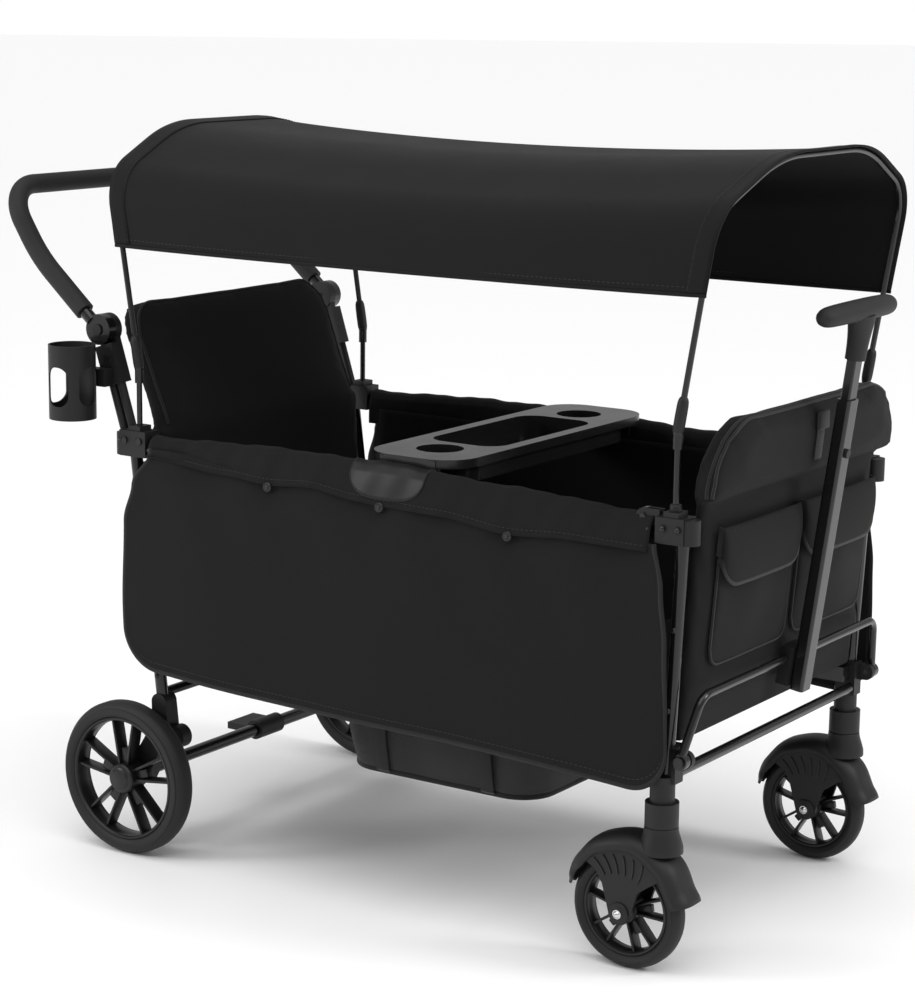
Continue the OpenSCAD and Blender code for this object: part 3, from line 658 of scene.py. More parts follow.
# %% Canopy sleeves, hems and stitches
def canopy_band(name, start, end):
    bm = cloth_grid(150, 4, (canopy_width, 0.03),
                    lambda u, v: canopy_point(0.004 + 0.992 * u, start + (end - start) * v, 1.5))
    band = finish_piece(name, bm, canopy_cloth, "canopy_rear", 60.0)
    thicken(band, 0.0012)
    return band


canopy_extras = [canopy_band("canopy_sleeve_rear", 0.0005, 0.030),
                 canopy_band("canopy_sleeve_front", 0.970, 0.9995)]
for label, along in (("rear", 0.0275), ("front", 0.9725)):
    row = [canopy_point(0.01 + 0.98 * i / 240, along, 2.6) for i in range(241)]
    canopy_extras.append(stitch_row(f"canopy_stitch_{label}", row, Vector((1, 0, 0)),
                                    "canopy_rear"))
for label, share in (("near", 0.0), ("far", 1.0)):
    inner = 0.012 if share == 0 else 0.988
    row = [canopy_point(share, i / 120, 0.4) for i in range(121)]
    hem = finish_piece(f"canopy_hem_{label}", swept(row, 0.0016, 0.0030, Vector((0, 1, 0))),
                       canopy_cloth, "canopy_rear")
    seam = [canopy_point(inner, 0.002 + 0.996 * i / 240, 1.2) for i in range(241)]
    canopy_extras += [hem, stitch_row(f"canopy_hem_stitch_{label}", seam, Vector((0, 1, 0)),
                                      "canopy_rear")]

for piece in [canopy, *canopy_extras]:
    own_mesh(piece)

# %% [markdown]
# ## The rail covers
# The cloth of the tub is pulled up over each side rail and buttoned down on the outside. Round
# the padded rail it makes a soft roll, and its free edge waves from snap to snap. The cover
# crosses the rail's middle hinge.

# %% Section of a rail cover
COVER_TOP = [(-463, 697), (-200, 705), (0, 704), (200, 695), (463, 684)]
COVER_SEAM = [(-463, 668), (-300, 655), (-214, 650), (-140, 655), (-40, 645), (0, 642), (110, 640),
              (229, 628), (330, 634), (463, 633)]
COVER_END = 463.0


def cover_section(x):
    top, seam = between(COVER_TOP, x), between(COVER_SEAM, x)
    return [(283.5, 640.0), (283.0, 655.0), (283.5, 672.0), (287.0, top - 12), (294.0, top - 3),
            (303.0, top), (312.5, top - 4), (320.0, top - 14), (324.5, top - 30),
            (328.0, (top - 30 + seam) / 2), (331.5, seam)]


def cover_point(side, x, share, lift=0.0):
    line = cover_section(x)
    y, z = along_line(line, share)
    back = along_line(line, max(0.0, share - 0.02))
    ahead_of = along_line(line, min(1.0, share + 0.02))
    run = Vector((ahead_of[0] - back[0], ahead_of[1] - back[1]))
    normal = Vector((-run.y, run.x)).normalized() if run.length else Vector((0, 0))
    wrinkle = (0.9 * math.sin(x * 0.055 + 3 * share) * ease(share * 1.6)
               + 0.6 * math.sin(x * 0.13 + 7 * share))
    y, z = y + normal.x * (lift + wrinkle), z + normal.y * (lift + wrinkle)
    return at(x, side * y, z)


def bend_at_hinge(piece):
    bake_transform(piece)
    return piece


cover_flat = (2 * COVER_END * MM,
              sum(math.dist(a, b) for a, b in zip(cover_section(0), cover_section(0)[1:])) * MM)
print("rail cover flat", [round(c, 3) for c in cover_flat])

# %% Rail covers
for label, side in SIDES:
    cover = finish_piece(f"rail_cover_{label}",
                         cloth_grid(170, 34, cover_flat, lambda u, v, s=side: cover_point(
                             s, -COVER_END + 2 * COVER_END * u, v)),
                         tub_cloth, None, 60.0)
    thicken(cover, 0.0016)
    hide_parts("rail_sleeves_rear", "rail_sleeves_front")
    bend_at_hinge(cover)
    row = [cover_point(side, -COVER_END + 6 + (2 * COVER_END - 12) * i / 300, 0.93, 1.3)
           for i in range(301)]
    bend_at_hinge(stitch_row(f"rail_cover_stitch_{label}", row, Vector((0, 1, 0)), None))

# %% [markdown]
# A smooth half-round patch protects the cloth over the rail's hinge, and three dark snaps close
# the cover's edge.

# %% Hinge patches
PATCH_LEFT, PATCH_RIGHT, PATCH_LOW = -62.0, 74.0, 654.0


def patch_share(x):
    """How far round the cover's section the patch reaches at x."""
    half = (PATCH_RIGHT - PATCH_LEFT) / 2
    offset = (x - (PATCH_LEFT + PATCH_RIGHT) / 2) / half
    low = PATCH_LOW + 34.0 * (1 - math.sqrt(max(0.0, 1 - abs(offset) ** 3.2)))
    line = cover_section(x)
    reach, near_end = 0.5, 1.0
    for _ in range(24):
        guess = (reach + near_end) / 2
        if along_line(line, guess)[1] > low:
            reach = guess
        else:
            near_end = guess
    return reach


def patch_point(side, u, v):
    u = 0.5 - 0.5 * math.cos(math.pi * u)
    x = PATCH_LEFT + (PATCH_RIGHT - PATCH_LEFT) * u
    return cover_point(side, x, 0.22 + (patch_share(x) - 0.22) * v, 1.7)


smooth_patch = moulded("smooth_patch", (0.007, 0.007, 0.0073), (0.010, 0.010, 0.0103),
                       0.42, 0.5, 0.00002)
for label, side in SIDES:
    patch = finish_piece(f"hinge_patch_{label}",
                         cloth_grid(36, 28, (0.136, 0.11), lambda u, v, s=side: patch_point(s, u, v)),
                         smooth_patch, None, 60.0)
    thicken(patch, 0.0014)
    bend_at_hinge(patch)
    rim = free_edges(lambda u, v, s=side: patch_point(s, u, v), 24, 60, 1)
    bend_at_hinge(finish_piece(f"hinge_patch_edge_{label}",
                               swept(rim, 0.0011, 0.0016, Vector((0, 1, 0)), sides=6),
                               binding_tape, None))

# %% Snaps
SNAP_OUTLINE = [(0.01, 0), (7.5, 0), (7.8, 0.8), (7.0, 2.0), (5.2, 2.3), (4.6, 1.6), (3.6, 1.6),
                (2.8, 2.9), (1.4, 3.5), (0.01, 3.7)]
SNAPS = [(-214, 647), (-1, 641), (229, 626)]
for label, side in SIDES:
    snap_bm = bmesh.new()
    for x, z in SNAPS:
        turned(snap_bm, [(r, side * (a + 332.0)) for r, a in SNAP_OUTLINE],
               at(x, 0, z), "Y", 24, closed=False)
    bend_at_hinge(finish_piece(f"cover_snaps_{label}", outward(snap_bm), dark_metal, None))

# %% [markdown]
# ## The side flaps
# A wide flap hangs from each rail and hides the tub. It is a single layer of cloth with round
# lower corners, bound all the way round with tape. Gravity keeps it flat below, and the snaps
# pull shallow folds into its upper part.

# %% Outline of a side flap
FLAP_REAR, FLAP_LENGTH = -506, 1009
FLAP_LEFT = [(300, -503), (420, -506), (560, -500), (620, -484), (672, -455)]
FLAP_RIGHT = [(280, 503), (400, 503), (500, 500), (585, 491), (645, 472)]
CORNER_R, BOTTOM_REAR, BOTTOM_FRONT = 62.0, 322.0, 281.0


def flap_bottom(x):
    line = BOTTOM_REAR + (BOTTOM_FRONT - BOTTOM_REAR) * (x - FLAP_REAR) / FLAP_LENGTH
    past = max(-(x + 506 - CORNER_R), x - 503 + CORNER_R, 0.0)
    return line + 4 * math.sin(x * 0.006) + CORNER_R - math.sqrt(max(0.0, CORNER_R ** 2 - past ** 2))


def flap_point(side, u, v, lift=0.0):
    spread = 0.5 - 0.5 * math.cos(math.pi * u)
    x = FLAP_REAR + FLAP_LENGTH * spread
    low = flap_bottom(x)
    top = between(COVER_SEAM, x) + 12
    z = low + (top - low) * v
    x = between(FLAP_LEFT, z) * (1 - spread) + between(FLAP_RIGHT, z) * spread
    drop = 1 - v
    folds = 2.2 * math.sin(x * 0.0145 + 0.6) * math.sin(math.pi * v) + 1.5 * math.sin(
        x * 0.043 + z * 0.02) * ease(v * 1.4 - 0.4)
    hang = 3.0 * math.sin(math.pi * drop * 0.9) + 1.2 * math.sin(x * 0.021 + 2) * drop
    pinch = sum(2.4 * math.exp(-((x - sx) / 26) ** 2 - ((z - sz) / 40) ** 2) for sx, sz in SNAPS)
    clear = 9.0 * ease((top - z - 10) / 40)
    return at(x, side * (326.0 + clear + folds + hang - pinch + lift), z)


flap_flat = (1.009, 0.365)
flap_columns = [flap_point(NEAR, i / 60, j / 40) for j in range(41) for i in range(61)]
for j in range(40):
    for i in range(60):
        a, b, c = (flap_columns[j * 61 + i], flap_columns[j * 61 + i + 1], flap_columns[j * 61 + 61 + i])

# %% Side flaps with binding
for label, side in SIDES:
    flap = finish_piece(f"side_flap_cloth_{label}",
                        cloth_grid(130, 60, flap_flat, lambda u, v, s=side: flap_point(s, u, v)),
                        tub_cloth, "rear_frame", 60.0)
    thicken(flap, 0.0016)
    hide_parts(f"side_flap_{label}")
    edge = free_edges(lambda u, v, s=side: flap_point(s, u, v), 40, 200, 0)
    bound = finish_piece(f"flap_binding_{label}", swept(edge, 0.0013, 0.0042, Vector((0, 1, 0))),
                         binding_tape, "rear_frame")
    inset = [flap_point(side, 0.03 + 0.94 * i / 260, 0.035, 1.2) for i in range(261)]
    sewn = stitch_row(f"flap_stitch_{label}", inset, Vector((0, 1, 0)), "rear_frame")
    for piece in (flap, bound, sewn):
        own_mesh(piece)

# %% [markdown]
# ## The tub's inner walls
# Between the floor and the rails hangs the inner wall of the tub, one sheet on each side.

# %% Inner walls
WALL_END, WALL_LOW, WALL_TOP = 437.0, 346.0, 668.0


def wall_point(side, u, v):
    x = -WALL_END + 2 * WALL_END * u
    z = WALL_LOW + (WALL_TOP - WALL_LOW) * v
    give = 1.6 * math.sin(x * 0.02 + z * 0.012) * math.sin(math.pi * v)
    return at(x, side * (279.0 + give), z)


wall_flat = (2 * WALL_END * MM, (WALL_TOP - WALL_LOW) * MM)
for label, side in SIDES:
    wall = finish_piece(f"tub_wall_{label}",
                        cloth_grid(60, 30, wall_flat, lambda u, v, s=side: wall_point(s, u, v)),
                        tub_cloth, "rear_frame", 60.0)
    thicken(wall, 0.0016)
    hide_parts("tub_sides")
    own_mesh(wall)

# %% [markdown]
# ## Padded pieces
# The seat pads and the two backrests are foam in cloth covers. Each starts as the plain CAD solid,
# is cut into a fine even mesh, and is blown up a little like a cushion, while the lines where
# it is sewn stay put.

# %% A helper that stuffs a solid
def applied(piece):
    graph = bpy.context.evaluated_depsgraph_get()
    done = bpy.data.meshes.new_from_object(piece.evaluated_get(graph))
    piece.modifiers.clear()
    before, piece.data = piece.data, done
    bpy.data.meshes.remove(before)


def rounded_off(piece, passes):
    bm = bmesh.new()
    bm.from_mesh(piece.data)
    for _ in range(passes):
        bmesh.ops.smooth_vert(bm, verts=bm.verts, factor=0.5, use_axis_x=True, use_axis_y=True,
                              use_axis_z=True)
    bmesh.ops.recalc_face_normals(bm, faces=bm.faces)
    bm.to_mesh(piece.data)
    bm.free()


def stuffed(name, node, body, finish, cap, sewn=None, pressure=4.0, voxel=0.006):
    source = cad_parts[node]
    mesh = source.data.copy()
    mesh.name = name
    mesh.transform(source.matrix_world)
    mesh.materials.clear()
    piece = bpy.data.objects.new(name, mesh)
    bpy.context.scene.collection.objects.link(piece)
    even = piece.modifiers.new("even_mesh", "REMESH")
    even.mode, even.voxel_size = "VOXEL", voxel
    applied(piece)
    rounded_off(piece, 6)
    start = [v.co.copy() for v in piece.data.vertices]
    air = piece.modifiers.new("air", "CLOTH")
    air.settings.quality = 4
    air.settings.mass = 0.3
    air.settings.bending_stiffness = 0.8
    air.settings.use_pressure = True
    air.settings.uniform_pressure_force = pressure
    air.settings.effector_weights.gravity = 0
    if sewn:
        held = piece.vertex_groups.new(name="sewn")
        for number, co in enumerate(start):
            held.add([number], sewn(co), "REPLACE")
        air.settings.vertex_group_mass = "sewn"
    air.point_cache.frame_start, air.point_cache.frame_end = 1, 16
    for step in range(1, 17):
        bpy.context.scene.frame_set(step)
    applied(piece)
    bpy.context.scene.frame_set(1)
    for vert, was in zip(piece.data.vertices, start):
        moved = vert.co - was
        if moved.length > cap:
            vert.co = was + moved.normalized() * cap
    rounded_off(piece, 2)
    piece.vertex_groups.clear()
    piece.data.materials.append(finish)
    piece.data.shade_smooth()
    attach(piece, body)
    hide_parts(node)
    print(name, "vertices", len(piece.data.vertices))
    return piece


def laid_on(piece, points, lift):
    """The points moved onto the surface of a piece, lifted off it a little."""
    tree = BVHTree.FromPolygons([v.co for v in piece.data.vertices],
                                [f.vertices[:] for f in piece.data.polygons])
    found = [tree.find_nearest(p) for p in points]
    return [hit[0] + hit[1] * lift for hit in found]


# %% Backrests and seat pads
SEWN_LINE, SEWN_HALF, SEWN_BELOW = 707.0, 5.0, 360.0


def near_seam(co):
    height = co.z / MM
    return 1.0 if abs(height - SEWN_LINE) < SEWN_HALF or height < SEWN_BELOW else 0.0


front_panel = stuffed("front_backrest_pad", "front_backrest", "front_frame", tub_cloth_ends, 0.010,
                      near_seam)
rear_panel = stuffed("rear_backrest_pad", "rear_backrest", "rear_frame", tub_cloth_ends, 0.007,
                     lambda co: 1.0 if co.z < 0.36 else 0.0)
for label, body in (("rear", "floor_rear"), ("front", "floor_front")):
    pad_low, pad_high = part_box(f"seat_pad_{label}")
    cross = (pad_low.y + pad_high.y) / 2
    pad = stuffed(f"seat_cushion_{label}", f"seat_pad_{label}", body, seat_cloth, 0.006,
                  lambda co: 1.0 if abs(co.y - cross) < 0.006 else 0.0)
    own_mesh(pad)

# %% Piping on the backrests


def panel_outline(half, low, top, radius, face):
    """Points up one side of a panel, round its top corners and down the other side."""
    corner = []
    for i in range(13):
        a = math.pi - (math.pi / 2) * i / 12
        corner.append((radius - half + radius * math.cos(a), top - radius + radius * math.sin(a)))
    rise = [(-half, low + (top - radius - low) * i / 10) for i in range(10)]
    crown = [(-(half - radius) + 2 * (half - radius) * i / 24, top) for i in range(1, 24)]
    left = rise + corner
    return [at(face(z), y, z) for y, z in left + crown + [(-y, z) for y, z in reversed(left)]]


def front_face(z):
    return 499 + (z - 345) * 0.0778 if z < 705 else 549 + (z - 705) * 0.0909


def piped(name, pad, points, body, size=0.0026):
    cord = swept(laid_on(pad, points, 0.0006), size, size, Vector((0.3, 1, 0.2)), sides=8)
    return finish_piece(name, cord, binding_tape, body)


piped("front_panel_piping_outer", front_panel,
      panel_outline(297, 712, 828, 110, lambda z: front_face(max(z, 706)) - 3), "front_frame")
piped("front_panel_piping_inner", front_panel,
      panel_outline(297, 712, 828, 110, lambda z: front_face(max(z, 706)) - 14), "front_frame")
piped("rear_panel_piping", rear_panel,
      panel_outline(256, 712, 904, 60, lambda z: -470 - (z - 700) * 91 / 205 + 2), "rear_frame")

# %% [markdown]
# Two flat pockets are sewn on the front panel, one each side of the pull tube. Each has a
# stiff flap with bound edges and round corners that closes over its mouth.

# %% Front pockets
POCKET_IN, POCKET_OUT, POCKET_LOW, POCKET_TOP = 10.0, 246.0, 456.0, 642.0
POCKET_R = 26


def pocket_point(side, u, v):
    y = POCKET_IN + (POCKET_OUT - POCKET_IN) * u
    edge = min(u, 1 - u) * (POCKET_OUT - POCKET_IN)
    low = (POCKET_LOW + POCKET_R
           - math.sqrt(max(0.0, POCKET_R ** 2 - max(0.0, POCKET_R - edge) ** 2)))
    z = low + (POCKET_TOP - low) * v
    full = math.sin(math.pi * u) ** 0.45 * min(1.0, 0.25 + 1.6 * v)
    crease = 1.6 * math.sin(11 * u + 3 * v) * full
    return at(front_face(z) + 13 + 12 * full + crease, side * y, z)


FLAP_TOP, FLAP_LOW, FLAP_R = 664.0, 578.0, 40.0


def pocket_flap_point(side, u, v, lift=0.0):
    y = POCKET_IN - 3 + (POCKET_OUT - POCKET_IN + 6) * (0.5 - 0.5 * math.cos(math.pi * u))
    edge = min(y - POCKET_IN + 3, POCKET_OUT + 3 - y)
    low = FLAP_LOW + FLAP_R - math.sqrt(max(0.0, FLAP_R ** 2 - max(0.0, FLAP_R - edge) ** 2))
    z = FLAP_TOP + (low - FLAP_TOP) * v
    full = math.sin(math.pi * u) ** 0.4 * math.sin(math.pi * (0.06 + 0.66 * v)) ** 0.6
    return at(front_face(z) + 14 + 20 * full + lift, side * y, z)


for label, side in SIDES:
    bag = finish_piece(f"pocket_bag_{label}",
                       cloth_grid(44, 34, (0.245, 0.20), lambda u, v, s=side: pocket_point(s, u, v)),
                       tub_cloth, "front_frame", 60.0)
    thicken(bag, 0.0014)
    lid = finish_piece(f"pocket_flap_{label}",
                       cloth_grid(44, 20, (0.255, 0.105),
                                  lambda u, v, s=side: pocket_flap_point(s, u, v)),
                       tub_cloth, "front_frame", 60.0)
    thicken(lid, 0.0018)
    for piece in (bag, lid):
        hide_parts("front_pockets")
    edge = free_edges(lambda u, v, s=side: pocket_flap_point(s, u, v), 12, 60, 1)
    finish_piece(f"pocket_flap_binding_{label}", swept(edge, 0.0042, 0.0015, Vector((0, 0, 1))),
                 binding_tape, "front_frame")
    seam = [pocket_point(side, i / 50, 0) for i in range(51)]
    side_seam = [pocket_point(side, 0, i / 20) for i in range(21)]
    other_seam = [pocket_point(side, 1, i / 20) for i in range(21)]
    for part, line in (("hem", seam), ("inner", side_seam), ("outer", other_seam)):
        finish_piece(f"pocket_{part}_{label}", swept(line, 0.0022, 0.0022, Vector((1, 0, 0)), sides=6),
                     binding_tape, "front_frame")

# %% [markdown]
# ## The storage basket
# Under the floor hangs a basket of dark net with round corners. Two bands of webbing carry its
# weight, and tape binds its lower edge.

# %% Basket net
basket_low, basket_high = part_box("storage_basket")
basket_low.z -= 0.006
basket_mid = (basket_low + basket_high) / 2
BASKET_X = (basket_high.x - basket_low.x) / 2
BASKET_Y = (basket_high.y - basket_low.y) / 2
BASKET_R = 0.062
NET_HEIGHT, FLOOR_SHARE = 0.142, 0.93
basket_run = 4 * (BASKET_X + BASKET_Y - 2 * BASKET_R) + math.tau * BASKET_R


def basket_rim(share):
    """A point of a rounded rectangle and its outward direction, a share of the way round."""
    a, b, r = BASKET_X - BASKET_R, BASKET_Y - BASKET_R, BASKET_R
    pieces = [("line", (a + r, -b), (a + r, b)), ("turn", (a, b), 0), ("line", (a, b + r), (-a, b + r)),
              ("turn", (-a, b), 90), ("line", (-a - r, b), (-a - r, -b)), ("turn", (-a, -b), 180),
              ("line", (-a, -b - r), (a, -b - r)), ("turn", (a, -b), 270)]
    left = (share % 1.0) * basket_run
    for kind, one, two in pieces:
        run = math.dist(one, two) if kind == "line" else math.pi / 2 * r
        if left <= run:
            if kind == "line":
                t = left / run
                return one[0] + (two[0] - one[0]) * t, one[1] + (two[1] - one[1]) * t
            turn = math.radians(two + 90 * left / run)
            return one[0] + r * math.cos(turn), one[1] + r * math.sin(turn)
        left -= run
    return a + r, -b


def basket_point(u, v, out=0.0):
    x, y = basket_rim(u)
    belly = 1 - 0.07 * (1 - v) ** 2 + 0.012 * math.sin(math.pi * v)
    grow = 1 + out / 0.2
    sag = 0.004 * math.sin(9 * math.tau * u) * math.sin(math.pi * v)
    height = basket_low.z + (basket_high.z - basket_low.z) * v + 0.006 * (1 - v)
    return Vector((basket_mid.x + x * (belly * grow) + sag,
                   basket_mid.y + y * (belly * grow) + sag, height))


def basket_floor_point(u, v):
    a, b = 2 * u - 1, 2 * v - 1
    reach = max(abs(a), abs(b))
    if reach < 1e-6:
        spot = Vector((basket_mid.x, basket_mid.y, 0))
    else:
        edge_x, edge_y = a / reach * BASKET_X, b / reach * BASKET_Y
        corner_x, corner_y = BASKET_X - BASKET_R, BASKET_Y - BASKET_R
        over_x, over_y = abs(edge_x) - corner_x, abs(edge_y) - corner_y
        if over_x > 0 and over_y > 0:
            pull = BASKET_R / math.hypot(over_x, over_y)
            edge_x = math.copysign(corner_x + over_x * pull, edge_x)
            edge_y = math.copysign(corner_y + over_y * pull, edge_y)
        spot = Vector((basket_mid.x + edge_x * reach * FLOOR_SHARE,
                       basket_mid.y + edge_y * reach * FLOOR_SHARE, 0))
    spot.z = basket_low.z + 0.006 - 0.005 * (1 - reach ** 2)
    return spot


basket_bm = cloth_grid(140, 16, (basket_run, NET_HEIGHT), basket_point)
bmesh.ops.remove_doubles(basket_bm, verts=basket_bm.verts, dist=1e-6)
basket_wall = finish_piece("basket_net_wall", basket_bm, net, "rear_frame", 60.0)
thicken(basket_wall, 0.0012)
floor_flat = (2 * BASKET_X * FLOOR_SHARE, 2 * BASKET_Y * FLOOR_SHARE)
basket_base = finish_piece("basket_net_floor", cloth_grid(40, 40, floor_flat, basket_floor_point),
                           net, "rear_frame", 60.0)
thicken(basket_base, 0.0012)
basket_parts = [basket_wall, basket_base]
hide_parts("storage_basket")

# %% Basket binding and webbing
for label, level, wide in (("lower", 0.0, 0.0045), ("upper", 0.985, 0.007)):
    ring = [basket_point(i / 120, level, 0.0012) for i in range(120)]
    basket_parts.append(finish_piece(f"basket_binding_{label}",
                                     swept(ring, wide, 0.0013, Vector((0, 0, 1)), closed=True),
                                     binding_tape, "rear_frame"))
for label, offset in (("rear", -0.10), ("front", 0.10)):
    x = basket_mid.x + offset
    band = [Vector((x, basket_mid.y - BASKET_Y * k - 0.003, basket_low.z + NET_HEIGHT * h))
            for k, h in ((1.0, 0.98), (1.01, 0.7), (0.995, 0.4), (0.945, 0.06), (0.90, 0.01))]
    under = [Vector((x, basket_mid.y - BASKET_Y * 0.88 + 2 * BASKET_Y * 0.88 * i / 16,
                     basket_low.z - 0.0004)) for i in range(17)]
    back = [Vector((p.x, 2 * basket_mid.y - p.y, p.z)) for p in reversed(band)]
    basket_parts.append(finish_piece(f"basket_webbing_{label}",
                                     swept(band + under + back, 0.0125, 0.0009, Vector((1, 0, 0))),
                                     webbing, "rear_frame"))
for piece in basket_parts:
    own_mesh(piece)

# %% [markdown]
# ## Wheels
# A wheel is three things: a foam tyre, a rim with five pairs of thin spokes, and a domed hub. The
# tyre and the rim's barrel are turned, and each spoke is a long thin block with soft edges.


# %% A wheel
def tyre_outline(radius, half):
    inner = radius - (25 if radius > 100 else 20)
    profile = [(inner, half - 6), (inner + 3, half - 2.5), (inner + 6, half - 1.2),
               (radius - 12, half), (radius - 10, half - 0.4), (radius - 9.4, half - 2.2),
               (radius - 7, half - 3.2), (radius - 3.6, half - 6.4), (radius - 1.2, half - 10),
               (radius, half - 14)]
    return profile + [(r, -a) for r, a in reversed(profile)]


def rim_outline(outer, half, wall):
    lip = [(outer + 0.5, half), (outer - 1.5, half + 1.8), (outer - wall, half + 1.4),
           (outer - wall - 1.5, half - 1), (outer - wall - 1.5, half - 5), (outer - wall - 3, half - 9),
           (outer - wall - 3.5, 0)]
    return lip + [(r, -a) for r, a in reversed(lip[:-1])] + [(outer + 0.5, -half)]


def spoke(bm, centre, turn, root, tip, start, end, half_wide, half_deep):
    """A thin straight blade from the hub to the rim, given as (radius, sideways) at each end."""
    across = Vector((math.cos(turn), 0, math.sin(turn)))
    sideways = Vector((-math.sin(turn), 0, math.cos(turn)))
    foot = centre + across * (start * MM) + sideways * (root * MM)
    head = centre + across * (end * MM) + sideways * (tip * MM)
    run = head - foot
    block = bmesh.ops.create_cube(bm, size=1.0)["verts"]
    spin = Matrix((run.normalized(), Vector((0, 1, 0)), run.normalized().cross(Vector((0, 1, 0)))))
    place = Matrix.Translation((foot + head) / 2) @ spin.transposed().to_4x4() @ Matrix.Diagonal(
        (run.length, 2 * half_deep * MM, 2 * half_wide * MM, 1))
    bmesh.ops.transform(bm, matrix=place, verts=block)
    edges = list({e for v in block for e in v.link_edges})
    bmesh.ops.bevel(bm, geom=edges, offset=1.1 * MM, segments=2, affect="EDGES", profile=0.5,
                    material=-1)


def wheel(label, body, centre, radius, tyre_width, rim_node, tyre_node, phase):
    half = tyre_width / 2
    big = radius > 100
    inner = radius - (25 if big else 20)
    tyre_bm = turned(bmesh.new(), tyre_outline(radius, half), centre, "Y", 96)
    tyre = finish_piece(f"tyre_{label}", outward(tyre_bm), foam_rubber, body, 30.0)
    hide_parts(tyre_node)
    rim_bm = turned(bmesh.new(), rim_outline(inner, half - 6, 4.5), centre, "Y", 96)
    hub_half = half - (1 if big else 3)
    hub_r = 25 if big else 20
    hub = [(0.01, hub_half + 5), (hub_r * 0.35, hub_half + 4.6), (hub_r * 0.62, hub_half + 3.0),
           (hub_r * 0.72, hub_half + 0.6), (hub_r * 0.80, hub_half), (hub_r * 0.92, hub_half - 0.5),
           (hub_r, hub_half - 3), (hub_r, 0)]
    hub += [(r, -a) for r, a in reversed(hub[:-1])]
    turned(rim_bm, hub, centre, "Y", 48, closed=False)
    reach = inner - 7
    for i in range(5):
        turn = math.radians(phase + 72 * i)
        for way in (-1, 1):
            spoke(rim_bm, centre, turn, way * hub_r * 0.30, way * hub_r * (0.86 if big else 0.80),
                  hub_r * 0.8, reach, 2.3 if big else 2.0, half - (9 if big else 8))
        spoke(rim_bm, centre, turn, 0, 0, hub_r * 0.9, hub_r * 2.0, hub_r * 0.28, half - 14)
    rim = finish_piece(f"rim_{label}", outward(rim_bm), satin_plastic, body, 30.0)
    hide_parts(rim_node)


def wheel_centre(node):
    box_low, box_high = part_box(node)
    return (box_low + box_high) / 2


for label, side in SIDES:
    wheel(f"rear_{label}", f"rear_wheel_{label}", wheel_centre(f"rear_tyre_{label}"), 128, 43,
          f"rear_rim_{label}", f"rear_tyre_{label}", 18)
    wheel(f"caster_{label}", f"caster_wheel_{label}", wheel_centre(f"caster_tyre_{label}"), 90, 38,
          f"caster_rim_{label}", f"caster_tyre_{label}", 10)

# %% [markdown]
# ## Caster forks
# A fork is moulded in one piece: a domed hood over the wheel with a drooping tip behind, a wide
# leg on each side with curved louvres under the hood, and a boss that turns under the bell.

# %% Hood, legs and boss
HOOD_BACK, HOOD_FRONT = 168.0, 14.0
HOOD_RISE = [(14, 110), (26, 106), (50, 112), (80, 118), (110, 114), (140, 106), (168, 101)]
HOOD_HALF = [(14, 33.0), (40, 33.5), (100, 33.5), (135, 30.0), (155, 20.0), (168, 5.0)]


def hood_point(centre, u, v):
    angle = HOOD_FRONT + (HOOD_BACK - HOOD_FRONT) * v
    s = 2 * u - 1
    half = between(HOOD_HALF, angle)
    drop = 21.0 * (half / 33.5) * (1 - math.sqrt(max(0.0, 1 - abs(s) ** 2.6)))
    radius = between(HOOD_RISE, angle) - drop
    turn = math.radians(angle)
    y = half * math.copysign(abs(s) ** 0.86, s)
    return centre + Vector((math.cos(turn) * radius, y, math.sin(turn) * radius)) * MM


def round_point(radius, degrees):
    return math.cos(math.radians(degrees)) * radius, math.sin(math.radians(degrees)) * radius


def fork_leg(bm, centre, inner, outer):
    top = [round_point(97, a) for a in range(42, 137, 5)]
    foot = [round_point(18, a) for a in range(195, 346, 10)]
    waist = [(-30, 40), (-42, 60)]
    outline = top + waist[::-1] + foot + [(30, 36), (52, 52)]
    face = bm.faces.new([bm.verts.new(centre + Vector((x * MM, inner * MM, z * MM)))
                         for x, z in outline])
    made = bmesh.ops.extrude_face_region(bm, geom=[face])["geom"]
    bmesh.ops.translate(bm, vec=Vector((0, (outer - inner) * MM, 0)),
                        verts=[g for g in made if isinstance(g, bmesh.types.BMVert)])


